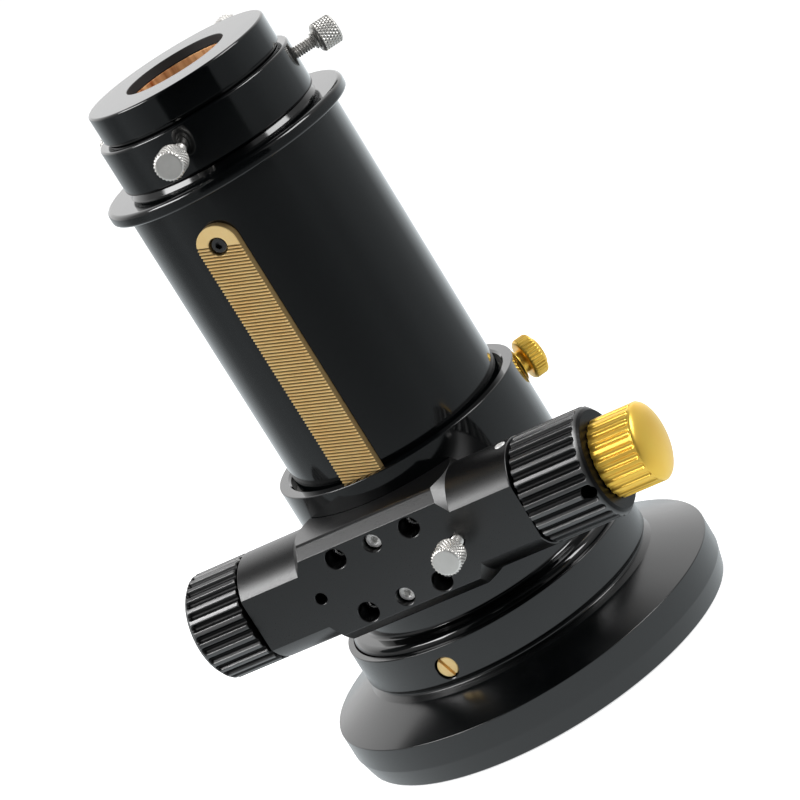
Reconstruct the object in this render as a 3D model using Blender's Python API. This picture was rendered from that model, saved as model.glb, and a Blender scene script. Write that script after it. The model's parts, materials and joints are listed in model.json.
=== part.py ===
# Rack and pinion focuser for a telescope: a helical brass rack on a wide drawtube, a pinion
# block bolted on the rotating body, a ten to one fine drive, and screw-locked eyepiece holders.
# Metres, +Z up along the optical axis, origin on the axis at the telescope end of the flange.
import math

import bmesh
import bpy
from mathutils import Matrix, Vector

# Clearances
SEAT_GAP = 0.0003            # between pieces that touch
MESH_GAP = 0.00012           # extra distance between rack and pinion
TOOTH_SLACK = 0.00012        # each tooth is this much thinner than half its pitch
BORE_LIP = 0.0003            # how far a recess reaches past the ring that it traps

# Telescope flange
FOOT_TAPER = 0.0016          # the rim narrows by it towards the telescope
FOOT_HEIGHT = 0.0063
RIM_REACH = 0.0153           # outwards from the neck
RIM_HEIGHT = 0.00795
RIM_WALL = 0.0070
SLOPE_HEIGHT = 0.00585
FLANGE_SHELL = 0.0045
NECK_WALL = 0.0021
NECK_HEIGHT = 0.0149
NECK_FLARE = 0.0004
NECK_GROOVE_DEPTH = 0.0014
NECK_GROOVE_HEIGHT = 0.0034
LEDGE_DROP = 0.0020          # below the groove for the lock screws
LEDGE_LIP = 0.0040
LOCK_SCREW_RADIUS = 0.0033
LOCK_SCREW_POINT = 0.0005    # radius of its flat point
LOCK_SCREW_SLOT = 0.0011
LOCK_SCREW_TURN = math.radians(-69)   # of its slot
LOCK_SCREW_DROP = 0.0070     # below the neck's top edge
LOCK_SCREW_ANGLE = math.radians(-94.8)
LOCK_SCREW_COUNT = 3

# Rotating body
BODY_LIP_REACH = 0.0056      # outwards from the body's wall
BODY_LIP_HEIGHT = 0.0020
BODY_FILLET = 0.0024
BODY_WALL = 0.0037
BODY_HEIGHT = 0.0530         # above the neck's top edge
GROOVE_DEPTH = 0.0030
GUIDE_THICKNESS = 0.0015
GUIDE_HEIGHT = 0.0070
UPPER_GUIDE_DROP = 0.0040    # below the body's top face
LOWER_GUIDE_RISE = 0.0187    # above the body's lower end
KEYWAY_CLEARANCE = 0.0005

# Drawtube and rack
DRAWTUBE_WALL = 0.0030
DRAWTUBE_LENGTH = 0.1435
DRAWTUBE_EXTENSION = 0.0935  # from the body's top face to the end ring
RACK_WIDTH = 0.0127
RACK_LENGTH = 0.1212
RACK_THICKNESS = 0.0037
RACK_STANDOFF = 0.0024       # toothed face above the tube's surface
RACK_DROP = 0.0083           # rack's upper end below the end ring
MODULE = 0.0003175
PRESSURE_ANGLE = math.radians(20)
HELIX_ANGLE = math.radians(17.7)
PINION_TEETH = 16
RACK_SCREW_HEAD = 0.0025
RACK_SCREW_SHANK = 0.0012
RACK_SCREW_SEAT = 0.0012     # above the rack's back

# Pinion block
BARREL_RADIUS = 0.0164
BARREL_HALF_LENGTH = 0.0465
BARREL_FLAT = 0.01384        # pinion axis to the flat front face
BARREL_CHAMFER = 0.0004
PINION_DROP = 0.0235         # pinion axis below the body's top face
BLOCK_HALF_LENGTH = 0.0233
BLOCK_HALF_HEIGHT = 0.0165
BLOCK_SHOULDER = 0.0029      # length of the turned 45 degree shoulders
BLOCK_CHAMFER = 0.0035
SCREW_COLUMN = 0.01266
SCREW_ROW = 0.0093
BLOCK_SCREW_HEAD = 0.0029
BLOCK_SCREW_SHANK = 0.0017
BLOCK_SCREW_SINK = 0.0060
BLOCK_SCREW_HEAD_HEIGHT = 0.0030
TENSION_SCREW_RADIUS = 0.0025
TENSION_SCREW_SINK = 0.0023
TENSION_SCREW_CHAMFER = 0.0003
PAD_HALF_WIDTH = 0.0067
PAD_HALF_HEIGHT = 0.0120
PAD_THICKNESS = 0.0068
SIDE_HOLE_INSET = 0.0055     # thumbscrew and its spare tapped hole, from the inner bush
SPARE_HOLE_RADIUS = 0.00185
BEARING_SCREW_RADIUS = 0.0016

# Pinion shaft, fine drive and knobs
SHAFT_RADIUS = 0.0030
PINION_HALF_LENGTH = 0.0067
TUNNEL_CLEARANCE = 0.0008
BEARING_RADIUS = 0.0090
BEARING_WIDTH = 0.0050
RACE_ROOM = 0.0011           # between the race and the outer bush
RACE_WIDTH = 0.0058
BALL_RADIUS = 0.0015
BALL_COUNT = 3
FINE_SHAFT_RADIUS = 0.0020
CARRIER_RADIUS = 0.0050
WASHER_RADIUS = 0.0085
WASHER_THICKNESS = 0.0005
KNOB_RADIUS = 0.0164
LEFT_KNOB_LENGTH = 0.0189
RIGHT_KNOB_LENGTH = 0.0225
KNOB_FACE_COVER = 0.0041     # from a shaft's end to the face of its knob
KNOB_FLUTES = 28
KNOB_FLUTE_DEPTH = 0.0007
KNOB_CHAMFER = 0.0012
GRUB_RADIUS = 0.0020
GRUB_LENGTH = 0.0040
GRUB_INSET = 0.0031          # from the knob's face
RIGHT_GRUB_ANGLE = math.radians(95)
LEFT_GRUB_ANGLE = math.radians(-85)
FINE_KNOB_RADIUS = 0.01185
FINE_KNOB_LENGTH = 0.0134
FINE_KNOB_DOME = 0.0033
FINE_DOME_SHAPE = 0.6        # below 1 gives a flat middle and a round shoulder
FINE_KNOB_FLUTES = 22
FINE_FLUTE_DEPTH = 0.0006

# Eyepiece end
END_RING_REACH = 0.0047      # outwards from the tube
END_RING_HEIGHT = 0.00385
END_RING_WALL = 0.0022       # of its spigot in the tube
HOLDER_NECK_REACH = 0.0013   # outwards from the holder's spigot
HOLDER_NECK_HEIGHT = 0.0016
HOLDER_WALL = 0.00575
HOLDER_HEIGHT = 0.0146
HOLDER_BORE = 0.02555
HOLDER_SPIGOT = 0.0080
HOLDER_SPIGOT_WALL = 0.00315
CAP_REACH = 0.00355          # outwards from the holder's bore
CAP_HEIGHT = 0.0098
ADAPTER_BORE = 0.01595
ADAPTER_SPIGOT_LENGTH = 0.0270
MOUTH_CHAMFER = 0.0010
CLAMP_RING_THICKNESS = 0.0009
WIDE_CLAMP_HEIGHT = 0.0080
NARROW_CLAMP_HEIGHT = 0.0060

# Thumbscrews
THUMB_SHANK = 0.0019
THUMB_NECK = 0.0026
THUMB_NECK_LENGTH = 0.0012
THUMB_HEAD = 0.0045
THUMB_HEAD_LENGTH = 0.0066
THUMB_CHAMFER = 0.0005
HOLDER_SCREW_REACH = 0.0066  # bare shank between holder and neck
HOLDER_SCREW_DROP = 0.0065   # below the holder's top
HOLDER_SCREW_ANGLE = math.radians(-84)
HOLDER_SCREW_COUNT = 3
ADAPTER_SCREW_REACH = 0.0070
ADAPTER_SCREW_RISE = 0.0039  # above the cap's lower face
ADAPTER_SCREW_ANGLE = math.radians(90)
BLOCK_SCREW_REACH = 0.0052
GOLD_HEAD_RADIUS = 0.0066
GOLD_HEAD_LENGTH = 0.0049
GOLD_NECK_RADIUS = 0.0036
GOLD_NECK_LENGTH = 0.0017
GOLD_BUTTON_RADIUS = 0.0046
GOLD_BUTTON_HEIGHT = 0.0008
GOLD_WASHER_RADIUS = 0.0055
GOLD_WASHER_HEIGHT = 0.0005
GOLD_SCREW_DROP = 0.0078     # below the body's top face
GOLD_SCREW_ANGLE = math.radians(38.5)

# Facets of round pieces
LARGE = 40
MEDIUM = 24
SMALL = 16
TINY = 10
HELIX_STEPS = 6
DRILL_TWIST = math.radians(7)

# Heights and places that follow from the sizes above
rim_top = FOOT_HEIGHT + RIM_HEIGHT
slope_top = rim_top + SLOPE_HEIGHT
neck_top = slope_top + NECK_HEIGHT
lock_screw_height = neck_top - LOCK_SCREW_DROP
ledge_height = lock_screw_height - GROOVE_DEPTH - LEDGE_DROP
body_low = ledge_height + SEAT_GAP
body_top = neck_top + BODY_HEIGHT
holder_spigot = HOLDER_BORE + HOLDER_SPIGOT_WALL
holder_neck = holder_spigot + HOLDER_NECK_REACH
holder_radius = HOLDER_BORE + HOLDER_WALL
cap_radius = HOLDER_BORE + CAP_REACH
ring_bore = holder_spigot + SEAT_GAP
ring_spigot = ring_bore + END_RING_WALL
tube_bore = ring_spigot + SEAT_GAP
drawtube_radius = tube_bore + DRAWTUBE_WALL
end_ring_radius = drawtube_radius + END_RING_REACH
guide_inner = drawtube_radius + SEAT_GAP
guide_outer = guide_inner + GUIDE_THICKNESS
guide_recess = guide_outer + SEAT_GAP
body_bore = guide_outer - BORE_LIP
body_radius = body_bore + BODY_WALL
body_lip = body_radius + BODY_LIP_REACH
groove_floor = body_lip - GROOVE_DEPTH
neck_bore = body_lip + SEAT_GAP
neck_radius = neck_bore + NECK_WALL
rim_radius = neck_radius + RIM_REACH
foot_radius = rim_radius - FOOT_TAPER
rim_bore = foot_radius - RIM_WALL
lower_guide = body_low + LOWER_GUIDE_RISE
upper_guide = body_top - UPPER_GUIDE_DROP - GUIDE_HEIGHT
ring_low = body_top + DRAWTUBE_EXTENSION
ring_top = ring_low + END_RING_HEIGHT
tube_low = ring_low - DRAWTUBE_LENGTH
rack_top = ring_low - RACK_DROP
rack_low = rack_top - RACK_LENGTH
rack_face = drawtube_radius + RACK_STANDOFF
rack_back = rack_face - RACK_THICKNESS
rack_pitch = math.pi * MODULE / math.cos(HELIX_ANGLE)
pitch_radius = PINION_TEETH * rack_pitch / (2 * math.pi)
pinion_y = -(rack_face - MODULE + pitch_radius + MESH_GAP)
pinion_z = body_top - PINION_DROP
front_y = pinion_y - BARREL_FLAT
block_envelope = BARREL_RADIUS + BLOCK_SHOULDER
barrel_start = BLOCK_HALF_LENGTH + BLOCK_SHOULDER
flange_bore = math.hypot(rack_face, RACK_WIDTH / 2) + 4 * SEAT_GAP
bearing_bore = BEARING_RADIUS + SEAT_GAP
tunnel_radius = SHAFT_RADIUS + TUNNEL_CLEARANCE
outer_bearing_x = BARREL_HALF_LENGTH - SEAT_GAP - BEARING_WIDTH
race_x = outer_bearing_x - RACE_ROOM - RACE_WIDTH
inner_bearing_x = race_x - SEAT_GAP - BEARING_WIDTH
side_hole_x = inner_bearing_x - SIDE_HOLE_INSET
planet_x = race_x + RACE_WIDTH / 2
planet_radius = FINE_SHAFT_RADIUS + SEAT_GAP + BALL_RADIUS
race_bore = planet_radius + BALL_RADIUS + SEAT_GAP
shaft_end = planet_x - BALL_RADIUS - 4 * SEAT_GAP
knob_x = BARREL_HALF_LENGTH + WASHER_THICKNESS + 2 * SEAT_GAP
left_knob_end = knob_x + LEFT_KNOB_LENGTH
right_knob_end = knob_x + RIGHT_KNOB_LENGTH
fine_knob_x = right_knob_end + SEAT_GAP
fine_knob_end = fine_knob_x + FINE_KNOB_LENGTH + FINE_KNOB_DOME
holder_low = ring_top + SEAT_GAP
holder_neck_top = holder_low + HOLDER_NECK_HEIGHT
holder_top = holder_neck_top + HOLDER_HEIGHT
cap_low = holder_top + SEAT_GAP
cap_top = cap_low + CAP_HEIGHT
wide_clamp_inner = HOLDER_BORE + SEAT_GAP / 2
wide_clamp_outer = wide_clamp_inner + CLAMP_RING_THICKNESS
wide_clamp_recess = wide_clamp_outer + SEAT_GAP
narrow_clamp_inner = ADAPTER_BORE + SEAT_GAP / 2
narrow_clamp_outer = narrow_clamp_inner + CLAMP_RING_THICKNESS
narrow_clamp_recess = narrow_clamp_outer + SEAT_GAP
holder_screw_height = holder_top - HOLDER_SCREW_DROP
adapter_screw_height = cap_low + ADAPTER_SCREW_RISE
gold_screw_height = body_top - GOLD_SCREW_DROP
bolt_floor = guide_recess + SEAT_GAP


def empty_scene():
    for old in list(bpy.data.objects):
        bpy.data.objects.remove(old, do_unlink=True)


def make_material(name, colour, roughness, metallic):
    material = bpy.data.materials.new(name)
    material.use_nodes = True
    shader = material.node_tree.nodes["Principled BSDF"]
    shader.inputs["Base Color"].default_value = (*colour, 1.0)
    shader.inputs["Roughness"].default_value = roughness
    shader.inputs["Metallic"].default_value = metallic
    return material


def add_object(name, body, material):
    """Turn a bmesh into a named object with outward faces and smooth round sides."""
    bmesh.ops.recalc_face_normals(body, faces=body.faces)
    mesh = bpy.data.meshes.new(name)
    body.to_mesh(mesh)
    body.free()
    mesh.shade_smooth()
    mesh.set_sharp_from_angle(angle=math.radians(30))
    piece = bpy.data.objects.new(name, mesh)
    bpy.context.scene.collection.objects.link(piece)
    if material is not None:
        mesh.materials.append(material)
    return piece


def add_turning(body, outline, steps, place=Matrix(), flutes=0, twist=0.0):
    """Spin a closed outline of (radius, height) points, or (radius, height, flute depth).

    With flutes, each ring gets three points per flute: two on the ridge and one in the groove.
    """
    if flutes:
        shares = [(0.0, 0.0), (0.55, 0.0), (0.78, 1.0)]
        turns = [((flute + share) / flutes, sunk) for flute in range(flutes) for share, sunk in shares]
    else:
        turns = [(step / steps, 0.0) for step in range(steps)]
    rings = []
    for radius, height, *depth in outline:
        if radius < 1e-7:
            rings.append([body.verts.new(place @ Vector((0, 0, height)))])
            continue
        ring = []
        for turn, sunk in turns:
            angle = 2 * math.pi * turn + twist
            reach = radius - (depth[0] * sunk if depth else 0.0)
            spot = Vector((reach * math.cos(angle), reach * math.sin(angle), height))
            ring.append(body.verts.new(place @ spot))
        rings.append(ring)
    for first, second in zip(rings, rings[1:] + rings[:1]):
        if len(first) == 1 and len(second) == 1:
            continue
        for step in range(len(turns)):
            following = (step + 1) % len(turns)
            corners = [first[step % len(first)], first[following % len(first)],
                       second[following % len(second)], second[step % len(second)]]
            body.faces.new(list(dict.fromkeys(corners)))


def turned(name, outline, steps, material, place=Matrix(), flutes=0):
    body = bmesh.new()
    add_turning(body, outline, steps, place, flutes)
    return add_object(name, body, material)


def add_prism(body, outline, low, high, place=Matrix()):
    """Extrude a closed outline of (x, y) points from z low to z high."""
    floor = [body.verts.new(place @ Vector((x, y, low))) for x, y in outline]
    roof = [body.verts.new(place @ Vector((x, y, high))) for x, y in outline]
    body.faces.new(floor)
    body.faces.new(roof)
    for step in range(len(outline)):
        following = (step + 1) % len(outline)
        body.faces.new([floor[step], floor[following], roof[following], roof[step]])


def prism(name, outline, low, high, material, place=Matrix()):
    body = bmesh.new()
    add_prism(body, outline, low, high, place)
    return add_object(name, body, material)


def box_outline(left, low, right, high):
    return [(left, low), (right, low), (right, high), (left, high)]


def hexagon(across_flats):
    corner = across_flats / math.sqrt(3)
    return [(corner * math.cos(math.pi * side / 3), corner * math.sin(math.pi * side / 3))
            for side in range(6)]


def cut(piece, name, fill, operation="DIFFERENCE"):
    """Cut a piece with a hidden tool whose mesh the fill function builds."""
    body = bmesh.new()
    fill(body)
    tool = add_object(name, body, None)
    tool.hide_render = True
    tool.display_type = "WIRE"
    change = piece.modifiers.new(name, "BOOLEAN")
    change.operation = operation
    change.solver = "EXACT"
    change.object = tool


def drill(body, outline, places, steps=SMALL):
    """Add turned drill bodies, with their edges kept off the lines of symmetry of the piece."""
    for place in places:
        add_turning(body, outline, steps, place, twist=DRILL_TWIST)


def outward(angle, height):
    """Local +Z points out from the optical axis at this angle and height."""
    return Matrix.Translation((0, 0, height)) @ Matrix.Rotation(angle, 4, "Z") @ Matrix.Rotation(
        math.pi / 2, 4, "Y")


def from_front(x, z):
    """Local +Z points at the viewer of the front face, from the plane of the optical axis."""
    return Matrix.Translation((x, 0, z)) @ Matrix.Rotation(math.pi / 2, 4, "X")


def along_pinion():
    """Local +Z runs along the pinion axis towards +X."""
    return Matrix.Translation((0, pinion_y, pinion_z)) @ Matrix.Rotation(math.pi / 2, 4, "Y")


def joint_empty(name, spot, parent=None):
    """An empty on a joint's axis that carries the pieces moving about it."""
    empty = bpy.data.objects.new(name, None)
    bpy.context.scene.collection.objects.link(empty)
    empty.location = spot
    if parent is not None:
        empty.parent = parent
        empty.location = Vector(spot) - joint_spots[parent.name]
    joint_spots[name] = Vector(spot)
    return empty


def carry(piece, empty):
    """Parent a piece whose mesh is in world coordinates, so that its origin is on the axis."""
    spot = joint_spots[empty.name]
    piece.data.transform(Matrix.Translation(-spot))
    piece.parent = empty
    return piece


empty_scene()
joint_spots = {}

black_gloss = make_material("gloss_black_anodised", (0.012, 0.012, 0.014), 0.12, 0.4)
black_satin = make_material("satin_black_anodised", (0.020, 0.020, 0.022), 0.38, 0.5)
gold_anodised = make_material("gold_anodised", (0.82, 0.54, 0.07), 0.22, 1.0)
brass = make_material("brass", (0.62, 0.42, 0.14), 0.30, 1.0)
copper_alloy = make_material("copper_alloy", (0.55, 0.28, 0.12), 0.28, 1.0)
steel = make_material("bright_steel", (0.62, 0.62, 0.60), 0.22, 1.0)
dark_steel = make_material("black_oxide_steel", (0.03, 0.03, 0.03), 0.35, 0.8)
white_plastic = make_material("white_guide_plastic", (0.75, 0.75, 0.72), 0.45, 0.0)
bronze = make_material("bearing_bronze", (0.45, 0.30, 0.16), 0.35, 1.0)

body_joint = joint_empty("body_axis", (0, 0, neck_top))
tube_joint = joint_empty("drawtube_axis", (0, 0, ring_low), body_joint)
adapter_joint = joint_empty("adapter_axis", (0, 0, cap_low), tube_joint)
pinion_joint = joint_empty("pinion_axis", (0, pinion_y, pinion_z), body_joint)
fine_joint = joint_empty("fine_knob_axis", (fine_knob_x, pinion_y, pinion_z), body_joint)


def build_flange():
    """Fixed flange: a rim for the telescope tube, a cone and a neck that holds the body."""
    edge = 2 * SEAT_GAP
    groove, rise = neck_radius - NECK_GROOVE_DEPTH, NECK_GROOVE_HEIGHT
    flange = turned("telescope_flange", [
        (rim_bore, 0), (foot_radius - edge, 0), (foot_radius, edge), (rim_radius, FOOT_HEIGHT),
        (rim_radius, rim_top - edge), (rim_radius - edge, rim_top),
        (neck_radius + NECK_FLARE, slope_top), (groove, slope_top + rise / 3),
        (groove, slope_top + 2 * rise / 3), (neck_radius, slope_top + rise),
        (neck_radius, neck_top - edge), (neck_radius - edge, neck_top),
        (neck_bore, neck_top), (neck_bore, ledge_height),
        (flange_bore, ledge_height), (flange_bore, ledge_height - LEDGE_LIP),
        (neck_bore, ledge_height - LEDGE_LIP), (rim_bore, rim_top - FLANGE_SHELL),
    ], LARGE, black_gloss)
    hole = LOCK_SCREW_RADIUS + SEAT_GAP
    low, high = groove_floor, rim_radius
    cut(flange, "lock_screw_holes", lambda body: drill(
        body, [(0, low), (hole, low), (hole, high), (0, high)], lock_screw_places()))


def lock_screw_places():
    return [outward(LOCK_SCREW_ANGLE + 2 * math.pi * turn / LOCK_SCREW_COUNT, lock_screw_height)
            for turn in range(LOCK_SCREW_COUNT)]


def build_lock_screws():
    """Brass grub screws with a cone point in the body's groove and a driver slot outside."""
    point = LOCK_SCREW_POINT
    tip = groove_floor + point + 2 * SEAT_GAP
    shoulder = tip + LOCK_SCREW_RADIUS - point
    top = neck_radius - 2 * SEAT_GAP
    slot = LOCK_SCREW_SLOT / 2
    half = LOCK_SCREW_RADIUS + SEAT_GAP
    outline = [(0, tip), (point, tip), (LOCK_SCREW_RADIUS, shoulder), (LOCK_SCREW_RADIUS, top), (0, top)]
    for name, place in numbered("body_lock_screw", lock_screw_places()):
        place = place @ Matrix.Rotation(LOCK_SCREW_TURN, 4, "Z")
        screw = turned(name, outline, SMALL, brass, place)
        cut(screw, name + "_slot", lambda tool, place=place: add_prism(
            tool, box_outline(-slot, -half, slot, half), top - LOCK_SCREW_SLOT, top + half, place))


def rack_keyway(body):
    """The way through body and guides that the rack slides in."""
    half = RACK_WIDTH / 2 + KEYWAY_CLEARANCE
    add_prism(body, box_outline(-half, -rack_face - KEYWAY_CLEARANCE, half, 0), 0, body_top + GUIDE_HEIGHT)


def shaft_tunnel(body):
    """The stepped bore along the pinion axis: bearing seats at both ends, a tunnel between."""
    reach = BARREL_HALF_LENGTH + SEAT_GAP
    left = BARREL_HALF_LENGTH - BEARING_WIDTH - 2 * SEAT_GAP
    right = inner_bearing_x - SEAT_GAP
    drill(body, [(0, -reach), (bearing_bore, -reach), (bearing_bore, -left), (tunnel_radius, -left),
                 (tunnel_radius, right), (bearing_bore, right), (bearing_bore, reach), (0, reach)],
          [along_pinion()], MEDIUM)


def block_screw_places():
    return [from_front(x, pinion_z + z)
            for x in (-SCREW_COLUMN, SCREW_COLUMN) for z in (-SCREW_ROW, SCREW_ROW)]


def block_screw_tip():
    """Screws stop short of the recess that holds the guides."""
    return math.sqrt(bolt_floor ** 2 - (SCREW_COLUMN - BLOCK_SCREW_SHANK) ** 2)


def build_body():
    """Rotating body: turned tube with recesses for the guides and a groove for its lock screws."""
    edge = 2 * SEAT_GAP
    lip_top = neck_top + BODY_LIP_HEIGHT
    piece = turned("focuser_body", [
        (body_bore, body_low), (body_lip, body_low),
        (body_lip, lock_screw_height - GROOVE_DEPTH), (groove_floor, lock_screw_height),
        (body_lip, lock_screw_height + GROOVE_DEPTH), (body_lip, lip_top - edge),
        (body_lip - edge, lip_top), (body_radius + BODY_FILLET / 3, lip_top + BODY_FILLET / 3),
        (body_radius, lip_top + BODY_FILLET), (body_radius, body_top - edge / 2),
        (body_radius - edge / 2, body_top), (body_bore + edge, body_top), (body_bore, body_top - edge),
        *guide_seat(upper_guide), *guide_seat(lower_guide),
    ], LARGE, black_satin)
    carry(piece, body_joint)
    cut(piece, "body_keyway", rack_keyway)
    cut(piece, "body_tunnel", shaft_tunnel)
    tapped = BLOCK_SCREW_SHANK + SEAT_GAP
    low, high = block_screw_tip() - SEAT_GAP, rack_face + body_radius
    cut(piece, "block_screw_taps", lambda body: drill(
        body, [(0, low), (tapped, low), (tapped, high), (0, high)], block_screw_places(), TINY))
    cut(piece, "gold_screw_tap", gold_screw_hole)


def guide_seat(low):
    """Recess for a guide ring, outlined downwards along the body's bore."""
    top, floor = low + GUIDE_HEIGHT + SEAT_GAP, low - SEAT_GAP
    return [(body_bore, top), (guide_recess, top), (guide_recess, floor), (body_bore, floor)]


def gold_screw_hole(body):
    hole = THUMB_SHANK + SEAT_GAP
    drill(body, [(0, 0.5 * drawtube_radius), (hole, 0.5 * drawtube_radius), (hole, 2 * body_radius),
                 (0, 2 * body_radius)], [outward(GOLD_SCREW_ANGLE, gold_screw_height)], TINY)


def build_guides():
    """Two plastic guide rings that the drawtube slides in, open where the rack passes."""
    for name, low in (("guide_ring_lower", lower_guide), ("guide_ring_upper", upper_guide)):
        high = low + GUIDE_HEIGHT
        outline = [(guide_inner, low), (guide_outer, low), (guide_outer, high), (guide_inner, high)]
        ring = turned(name, outline, LARGE, white_plastic)
        carry(ring, body_joint)
        cut(ring, name + "_keyway", rack_keyway)
        if name == "guide_ring_upper":
            cut(ring, name + "_screw_way", gold_screw_hole)


def build_block():
    """Pinion block: a turned barrel with a milled front, bolted on the body by a saddle."""
    reach = BARREL_HALF_LENGTH
    place = along_pinion()
    block = turned("pinion_block", [
        (0, -reach), (BARREL_RADIUS - BARREL_CHAMFER, -reach), (BARREL_RADIUS, BARREL_CHAMFER - reach),
        (BARREL_RADIUS, -barrel_start), (block_envelope, -BLOCK_HALF_LENGTH),
        (block_envelope, BLOCK_HALF_LENGTH), (BARREL_RADIUS, barrel_start),
        (BARREL_RADIUS, reach - BARREL_CHAMFER), (BARREL_RADIUS - BARREL_CHAMFER, reach), (0, reach),
    ], MEDIUM, black_satin, place)
    carry(block, body_joint)
    far = 2 * BARREL_HALF_LENGTH
    tall = BLOCK_HALF_HEIGHT

    def milling(body):
        front, bevel = -front_y, BLOCK_CHAMFER
        shape = [(0, -tall), (front - bevel, -tall), (front, bevel - tall), (front, tall - bevel),
                 (front - bevel, tall), (0, tall)]
        sideways = Matrix.Translation((0, 0, pinion_z)) @ Matrix(
            ((0, 0, 1, 0), (-1, 0, 0, 0), (0, 1, 0, 0), (0, 0, 0, 1)))
        add_prism(body, shape, -far, far, sideways)
    cut(block, "block_milling", milling, "INTERSECT")
    saddle = body_radius + SEAT_GAP
    cut(block, "block_saddle", lambda body: drill(
        body, [(0, 0), (saddle, 0), (saddle, 2 * body_top), (0, 2 * body_top)], [Matrix()], LARGE))
    cut(block, "block_tunnel", shaft_tunnel)
    drill_block(block)
    cut(block, "block_pad_pocket", lambda body: add_prism(
        body, box_outline(-PAD_HALF_WIDTH - SEAT_GAP, -body_radius - PAD_THICKNESS - 2 * SEAT_GAP,
                          PAD_HALF_WIDTH + SEAT_GAP, 0),
        pinion_z - PAD_HALF_HEIGHT - SEAT_GAP, pinion_z + PAD_HALF_HEIGHT + SEAT_GAP))


def drill_block(block):
    """Counterbored bolt holes, tapped holes of the tension screws, thumbscrew and spare hole."""
    front = -front_y
    seat = front - BLOCK_SCREW_SINK - BLOCK_SCREW_HEAD_HEIGHT - SEAT_GAP
    head, shank = BLOCK_SCREW_HEAD + SEAT_GAP, BLOCK_SCREW_SHANK + SEAT_GAP
    over, inside = front + BLOCK_SCREW_SINK, body_radius / 2
    cut(block, "block_bolt_holes", lambda body: drill(
        body, [(0, inside), (shank, inside), (shank, seat), (head, seat), (head, over), (0, over)],
        block_screw_places(), TINY))
    tension = TENSION_SCREW_RADIUS + SEAT_GAP
    pad = body_radius + PAD_THICKNESS
    cut(block, "block_tension_holes", lambda body: drill(
        body, [(0, pad), (tension, pad), (tension, over), (0, over)], tension_places(), TINY))
    thumb = THUMB_SHANK + SEAT_GAP
    axis = -pinion_y
    for name, x, hole in (("block_thumbscrew_hole", side_hole_x, thumb),
                          ("block_spare_hole", -side_hole_x, SPARE_HOLE_RADIUS)):
        cut(block, name, lambda body, x=x, hole=hole: drill(
            body, [(0, axis), (hole, axis), (hole, over), (0, over)], [from_front(x, pinion_z)], TINY))
    small = BEARING_SCREW_RADIUS + SEAT_GAP
    cut(block, "block_bearing_screw_hole", lambda body: drill(
        body, [(0, BEARING_RADIUS), (small, BEARING_RADIUS), (small, 2 * BARREL_RADIUS),
               (0, 2 * BARREL_RADIUS)], [bearing_screw_place()], TINY))


def bearing_screw_place():
    """Upright through the top of the right end of the barrel."""
    return Matrix.Translation((outer_bearing_x + BEARING_WIDTH / 2, pinion_y, pinion_z))


def tension_places():
    return [from_front(0, pinion_z + z) for z in (-SCREW_ROW, SCREW_ROW)]


def numbered(name, places):
    """A name for each place: the plain name when there is only one."""
    if len(places) == 1:
        return [(name, places[0])]
    return [(f"{name}_{turn + 1}", place) for turn, place in enumerate(places)]


def socket_screws(name, places, outline, socket, floor, top, material, joint):
    """Screws with a hexagon socket in their heads."""
    for screw_name, place in numbered(name, places):
        screw = turned(screw_name, outline, TINY, material, place)
        carry(screw, joint)
        cut(screw, screw_name + "_socket", lambda tool, place=place: add_prism(
            tool, hexagon(socket), floor, top + SEAT_GAP, place))


def build_block_screws():
    front = -front_y
    top = front - BLOCK_SCREW_SINK
    neck = top - BLOCK_SCREW_HEAD_HEIGHT
    tip = block_screw_tip()
    socket_screws(
        "block_screw", block_screw_places(),
        [(0, tip), (BLOCK_SCREW_SHANK, tip), (BLOCK_SCREW_SHANK, neck), (BLOCK_SCREW_HEAD, neck),
         (BLOCK_SCREW_HEAD, top), (0, top)],
        BLOCK_SCREW_HEAD, top - BLOCK_SCREW_HEAD_HEIGHT / 2, top, dark_steel, body_joint)
    top = front - TENSION_SCREW_SINK
    tip = body_radius + PAD_THICKNESS + 2 * SEAT_GAP
    edge = TENSION_SCREW_CHAMFER
    socket_screws(
        "tension_screw", tension_places(),
        [(0, tip), (TENSION_SCREW_RADIUS, tip), (TENSION_SCREW_RADIUS, top - edge),
         (TENSION_SCREW_RADIUS - edge, top), (0, top)],
        TENSION_SCREW_RADIUS, top - TENSION_SCREW_RADIUS, top, steel, body_joint)
    top = BARREL_RADIUS - SEAT_GAP
    tip = bearing_bore
    socket_screws(
        "bearing_screw", [bearing_screw_place()],
        [(0, tip), (BEARING_SCREW_RADIUS, tip), (BEARING_SCREW_RADIUS, top), (0, top)],
        BEARING_SCREW_RADIUS, top - BEARING_SCREW_RADIUS, top, steel, body_joint)


def build_pad():
    """Plastic pressure pad between the two tension screws and the pinion shaft."""
    pad = prism("pressure_pad", box_outline(
        -PAD_HALF_WIDTH, -body_radius - PAD_THICKNESS - SEAT_GAP, PAD_HALF_WIDTH, -body_radius - SEAT_GAP),
        pinion_z - PAD_HALF_HEIGHT, pinion_z + PAD_HALF_HEIGHT, white_plastic)
    carry(pad, body_joint)
    hollow = SHAFT_RADIUS + SEAT_GAP
    cut(pad, "pad_hollow", lambda body: drill(
        body, [(0, -BARREL_RADIUS), (hollow, -BARREL_RADIUS), (hollow, BARREL_RADIUS), (0, BARREL_RADIUS)],
        [along_pinion()]))


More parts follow.
